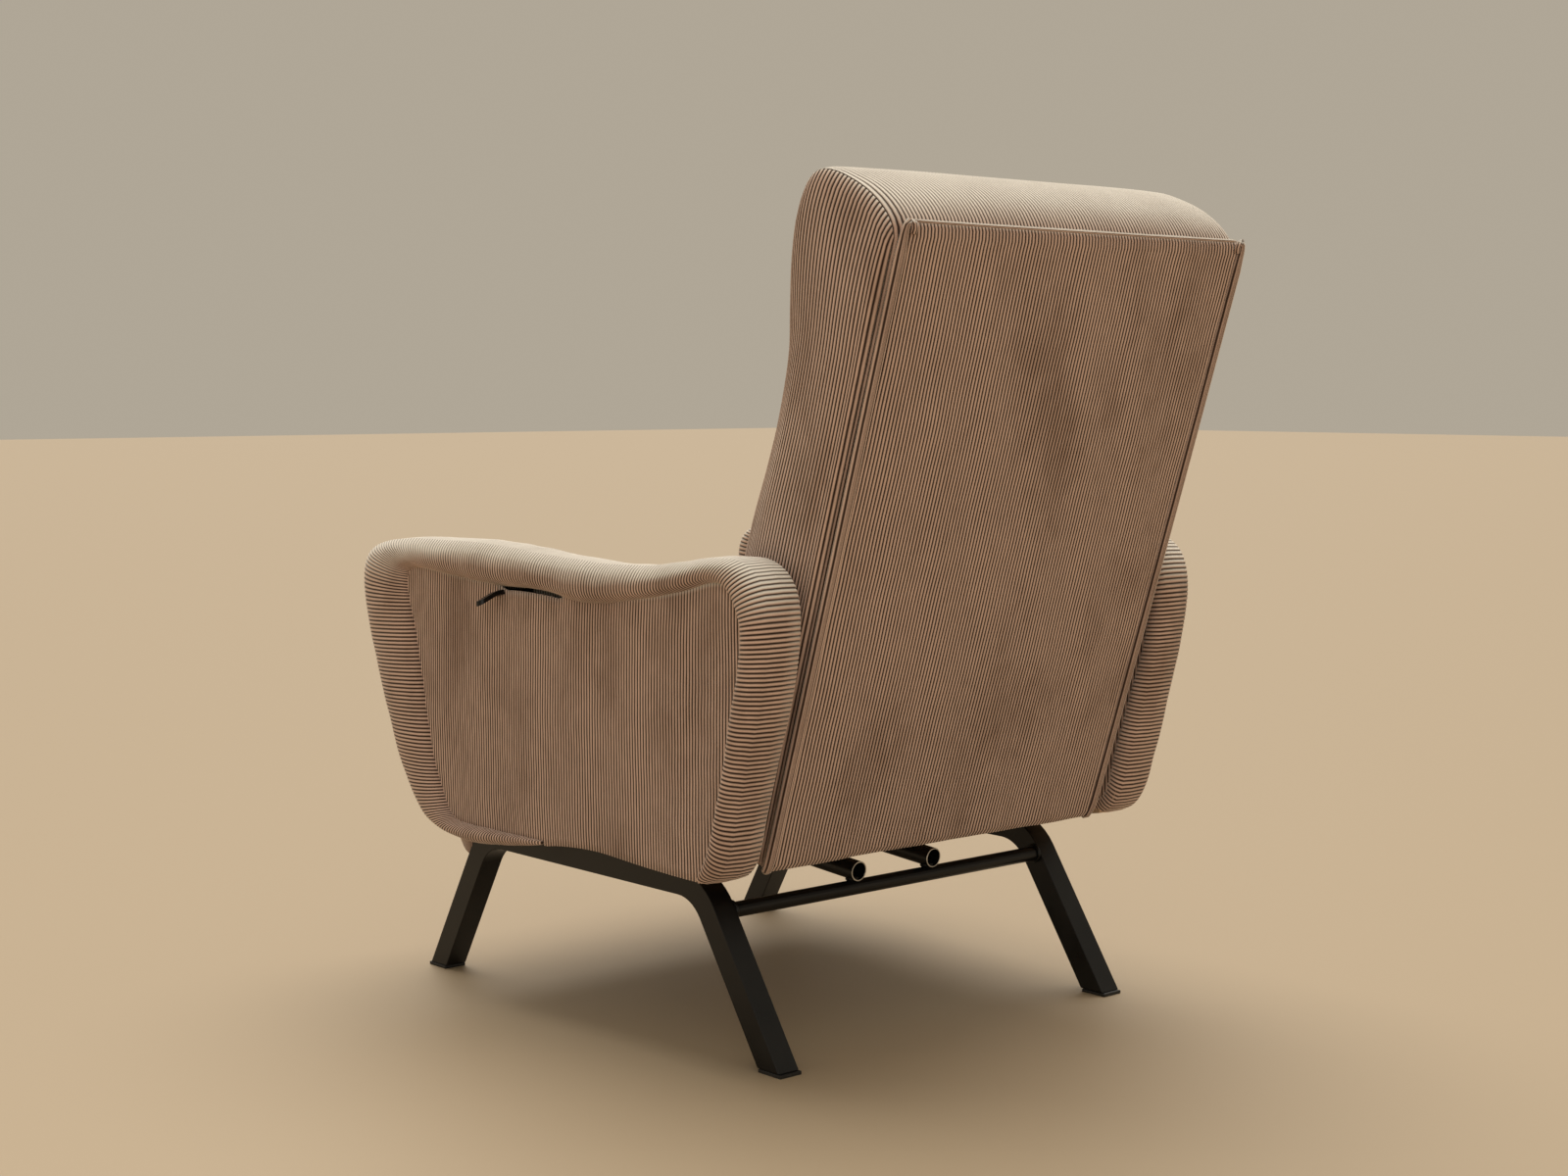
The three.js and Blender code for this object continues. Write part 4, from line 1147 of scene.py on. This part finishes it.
def copy_of(node, name):
    """A copy of a frame node's shape as a new piece, with its loose triangles merged."""
    source = frame["nodes"][node]
    piece = bpy.data.objects.new(name, source.data.copy())
    piece.matrix_world = source.matrix_world
    bpy.context.scene.collection.objects.link(piece)
    bpy.ops.object.select_all(action="DESELECT")
    bpy.context.view_layer.objects.active = piece
    piece.select_set(True)
    bpy.ops.object.transform_apply(location=True, rotation=True, scale=True)
    bpy.ops.object.mode_set(mode="EDIT")
    bpy.ops.mesh.select_all(action="SELECT")
    bpy.ops.mesh.remove_doubles(threshold=1e-6)
    bpy.ops.mesh.normals_make_consistent(inside=False)
    bpy.ops.mesh.dissolve_limited(angle_limit=math.radians(0.5))
    bpy.ops.mesh.select_all(action="DESELECT")
    bpy.ops.object.mode_set(mode="OBJECT")
    return piece


def ease_edges(piece, width, segments):
    """Rounds the piece's sharp edges and smooths the rest."""
    bevel = piece.modifiers.new("Bevel", "BEVEL")
    bevel.width = width
    bevel.segments = segments
    bevel.limit_method = "ANGLE"
    bevel.angle_limit = math.radians(32)
    bpy.ops.object.modifier_apply(modifier=bevel.name)
    bpy.ops.object.shade_smooth()
    weighted = piece.modifiers.new("Weighted Normal", "WEIGHTED_NORMAL")
    weighted.weight = 80
    bpy.ops.object.modifier_apply(modifier=weighted.name)


def slot_of(node):
    """The material slot that the record gives a frame node."""
    return next(row["material_slot"] for row in frame["record"]["subparts"] if row["node"] == node)


def body_with(node):
    """The name of the body that a frame node rides on."""
    return frame["nodes"][node]["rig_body"]


class BuildHardParts(bpy.types.Operator):
    """Eases the edges of the tube, plastic, steel and wooden parts, and finishes them"""

    bl_idname = "recliner.hard_parts"
    bl_label = "Hard parts"

    def execute(self, context):
        for stem, (width, segments) in EASED.items():
            for node in [name for name in frame["nodes"] if name.startswith(stem)]:
                piece = copy_of(node, f"{node}_finished")
                piece.data.materials.clear()
                piece.data.materials.append(finish_of(slot_of(node)))
                ease_edges(piece, width, segments)
                if stem == "guide_tube":
                    self.bare_end(piece)
                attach(piece, body_with(node))
                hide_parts(node)
        return {"FINISHED"}

    def bare_end(self, piece):
        """Leaves the sawn rear end of a guide tube unpainted."""
        piece.data.materials.append(finish_of("steel"))
        bare_length = 0.0021
        rear = max(corner[1] for corner in piece.bound_box)
        for face in piece.data.polygons:
            if face.center.y > rear - bare_length:
                face.material_index = 1


def finish_weld(name, node, rough, uniform, seed, factor, repeat=1, stretch=None):
    """Roughens the primitive just added into a painted weld that rides with a node."""
    weld = bpy.context.active_object
    weld.name = name
    bpy.ops.object.mode_set(mode="EDIT")
    bpy.ops.mesh.select_all(action="SELECT")
    if stretch:
        bpy.ops.transform.resize(value=stretch)
    bpy.ops.transform.vertex_random(offset=rough, uniform=uniform, seed=seed)
    bpy.ops.mesh.vertices_smooth(factor=factor, repeat=repeat)
    bpy.ops.object.mode_set(mode="OBJECT")
    bpy.ops.object.transform_apply(location=True, rotation=True, scale=True)
    bpy.ops.object.shade_smooth()
    weld.data.materials.append(finish_of("black_paint"))
    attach(weld, body_with(node))


class BuildWelds(bpy.types.Operator):
    """Lays the welds of the cross tubes to the side frames and of the guide tubes to the rear one"""

    bl_idname = "recliner.welds"
    bl_label = "Welds"

    def execute(self, context):
        for node in ("rear_cross_tube", "front_cross_tube"):
            low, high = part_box(node)
            middle = (low + high) / 2
            radius = (high.z - low.z) / 2
            for side, x, sign in (("left", high.x, 1), ("right", low.x, -1)):
                bpy.ops.object.select_all(action="DESELECT")
                bpy.ops.mesh.primitive_torus_add(
                    major_segments=40, minor_segments=8, major_radius=radius + 0.0008,
                    minor_radius=0.0022, location=(x - sign * 0.0014, middle.y, middle.z),
                    rotation=(0, math.pi / 2, 0),
                )
                finish_weld(f"{node}_weld_{side}", node, 0.0007, 0.6, seed=3, factor=0.4)
        node = "rear_cross_tube"
        low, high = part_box(node)
        for side in ("left", "right"):
            x = centre(f"guide_tube_{side}").x
            bpy.ops.object.select_all(action="DESELECT")
            bpy.ops.mesh.primitive_uv_sphere_add(
                segments=24, ring_count=14, radius=0.0075,
                location=(x, (low.y + high.y) / 2 - 0.001, high.z + 0.0022),
            )
            finish_weld(
                f"guide_weld_{side}", node, 0.0009, 0.5, seed=7, factor=0.5, repeat=2,
                stretch=(1.35, 1.1, 0.62),
            )
        return {"FINISHED"}


class FinishFrame(bpy.types.Operator):
    """Paints and grains the parts that keep their frame shapes"""

    bl_idname = "recliner.finish_frame"
    bl_label = "Frame finishes"

    def execute(self, context):
        for row in frame["record"]["subparts"]:
            if row["material_slot"] in FINISHES:
                for place_in_node in frame["nodes"][row["node"]].material_slots:
                    place_in_node.material = finish_of(row["material_slot"])
        return {"FINISHED"}


def facing(direction):
    """How a light or a camera is turned to look along a direction."""
    return direction.to_track_quat("-Z", "Y").to_euler()


def hang(data, location, target):
    """Hangs a light where it shines on a target."""
    light = bpy.data.objects.new(data.name, data)
    light.location = location
    light.rotation_euler = facing(Vector(target) - light.location)
    bpy.context.scene.collection.objects.link(light)


class BuildStage(bpy.types.Operator):
    """Lays the floor, hangs the lights and sets the camera"""

    bl_idname = "recliner.stage"
    bl_label = "Stage"

    def execute(self, context):
        bpy.ops.object.select_all(action="DESELECT")
        bpy.ops.mesh.primitive_plane_add(size=60, location=(0, 0, 0))
        floor = context.active_object
        floor.name = "floor"
        surface = Surface("pale_floor", Roughness=0.55)
        surface.colour((0.465, 0.365, 0.245, 1.0))
        floor.data.materials.append(surface.material)
        sky = bpy.data.lights.new("skylight", "SUN")
        sky.energy = 2.5
        sky.angle = math.radians(60)
        sky.color = (1.0, 0.955, 0.89)
        hang(sky, (-0.8, -1.0, 3.4), target=(0, 0, 0.4))
        fill = bpy.data.lights.new("fill", "AREA")
        fill.shape = "RECTANGLE"
        fill.size, fill.size_y = 3.0, 2.4
        fill.energy = 26
        fill.color = (1.0, 0.95, 0.89)
        hang(fill, (3.2, 3.6, 2.0), target=(0, 0.05, 0.45))
        world = bpy.data.worlds.new("room")
        world.use_nodes = True
        background = world.node_tree.nodes["Background"]
        background.inputs["Color"].default_value = (0.80, 0.71, 0.57, 1.0)
        background.inputs["Strength"].default_value = 0.54
        context.scene.world = world
        context.scene.view_settings.view_transform = "Standard"

        data = bpy.data.cameras.new("camera")
        data.sensor_width = 36.0
        data.lens = 54.75
        camera = bpy.data.objects.new("camera", data)
        camera.location = place([1.9484, 2.305, 0.75])
        pitch, heading = math.radians(4.848), math.radians(48.698)
        level = math.cos(pitch)
        ahead = Vector((-math.cos(heading) * level, -math.sin(heading) * level, -math.sin(pitch)))
        camera.rotation_euler = facing(ahead)
        context.scene.collection.objects.link(camera)
        context.scene.camera = camera
        return {"FINISHED"}


class ReclinerPanel(bpy.types.Panel):
    """Lists the sizes, the colours and the steps"""

    bl_idname = "VIEW3D_PT_recliner"
    bl_label = "Recliner"
    bl_space_type = "VIEW_3D"
    bl_region_type = "UI"
    bl_category = "Recliner"

    def draw(self, context):
        for name in ReclinerLooks.__annotations__:
            self.layout.prop(context.scene.recliner_looks, name)
        for step in STEPS:
            self.layout.operator(step.bl_idname)


STEPS = (
    BuildBackCushion, BuildSeatCushion, BuildSeatBorder, BuildFootrest, BuildArmRolls,
    BuildArmPanels, BuildOutsideBack, BuildHardParts, BuildWelds, FinishFrame, BuildStage,
)
CLASSES = (ReclinerLooks, *STEPS, ReclinerPanel)


def register():
    """Adds the settings, the steps and the panel."""
    for cls in CLASSES:
        bpy.utils.register_class(cls)
    bpy.types.Scene.recliner_looks = bpy.props.PointerProperty(type=ReclinerLooks)


def unregister():
    """Takes them away again."""
    del bpy.types.Scene.recliner_looks
    for cls in reversed(CLASSES):
        bpy.utils.unregister_class(cls)


def main():
    """Builds the chair and its stage."""
    register()
    for step in STEPS:
        group, name = step.bl_idname.split(".")
        getattr(getattr(bpy.ops, group), name)()


if __name__ == "__main__":
    main()
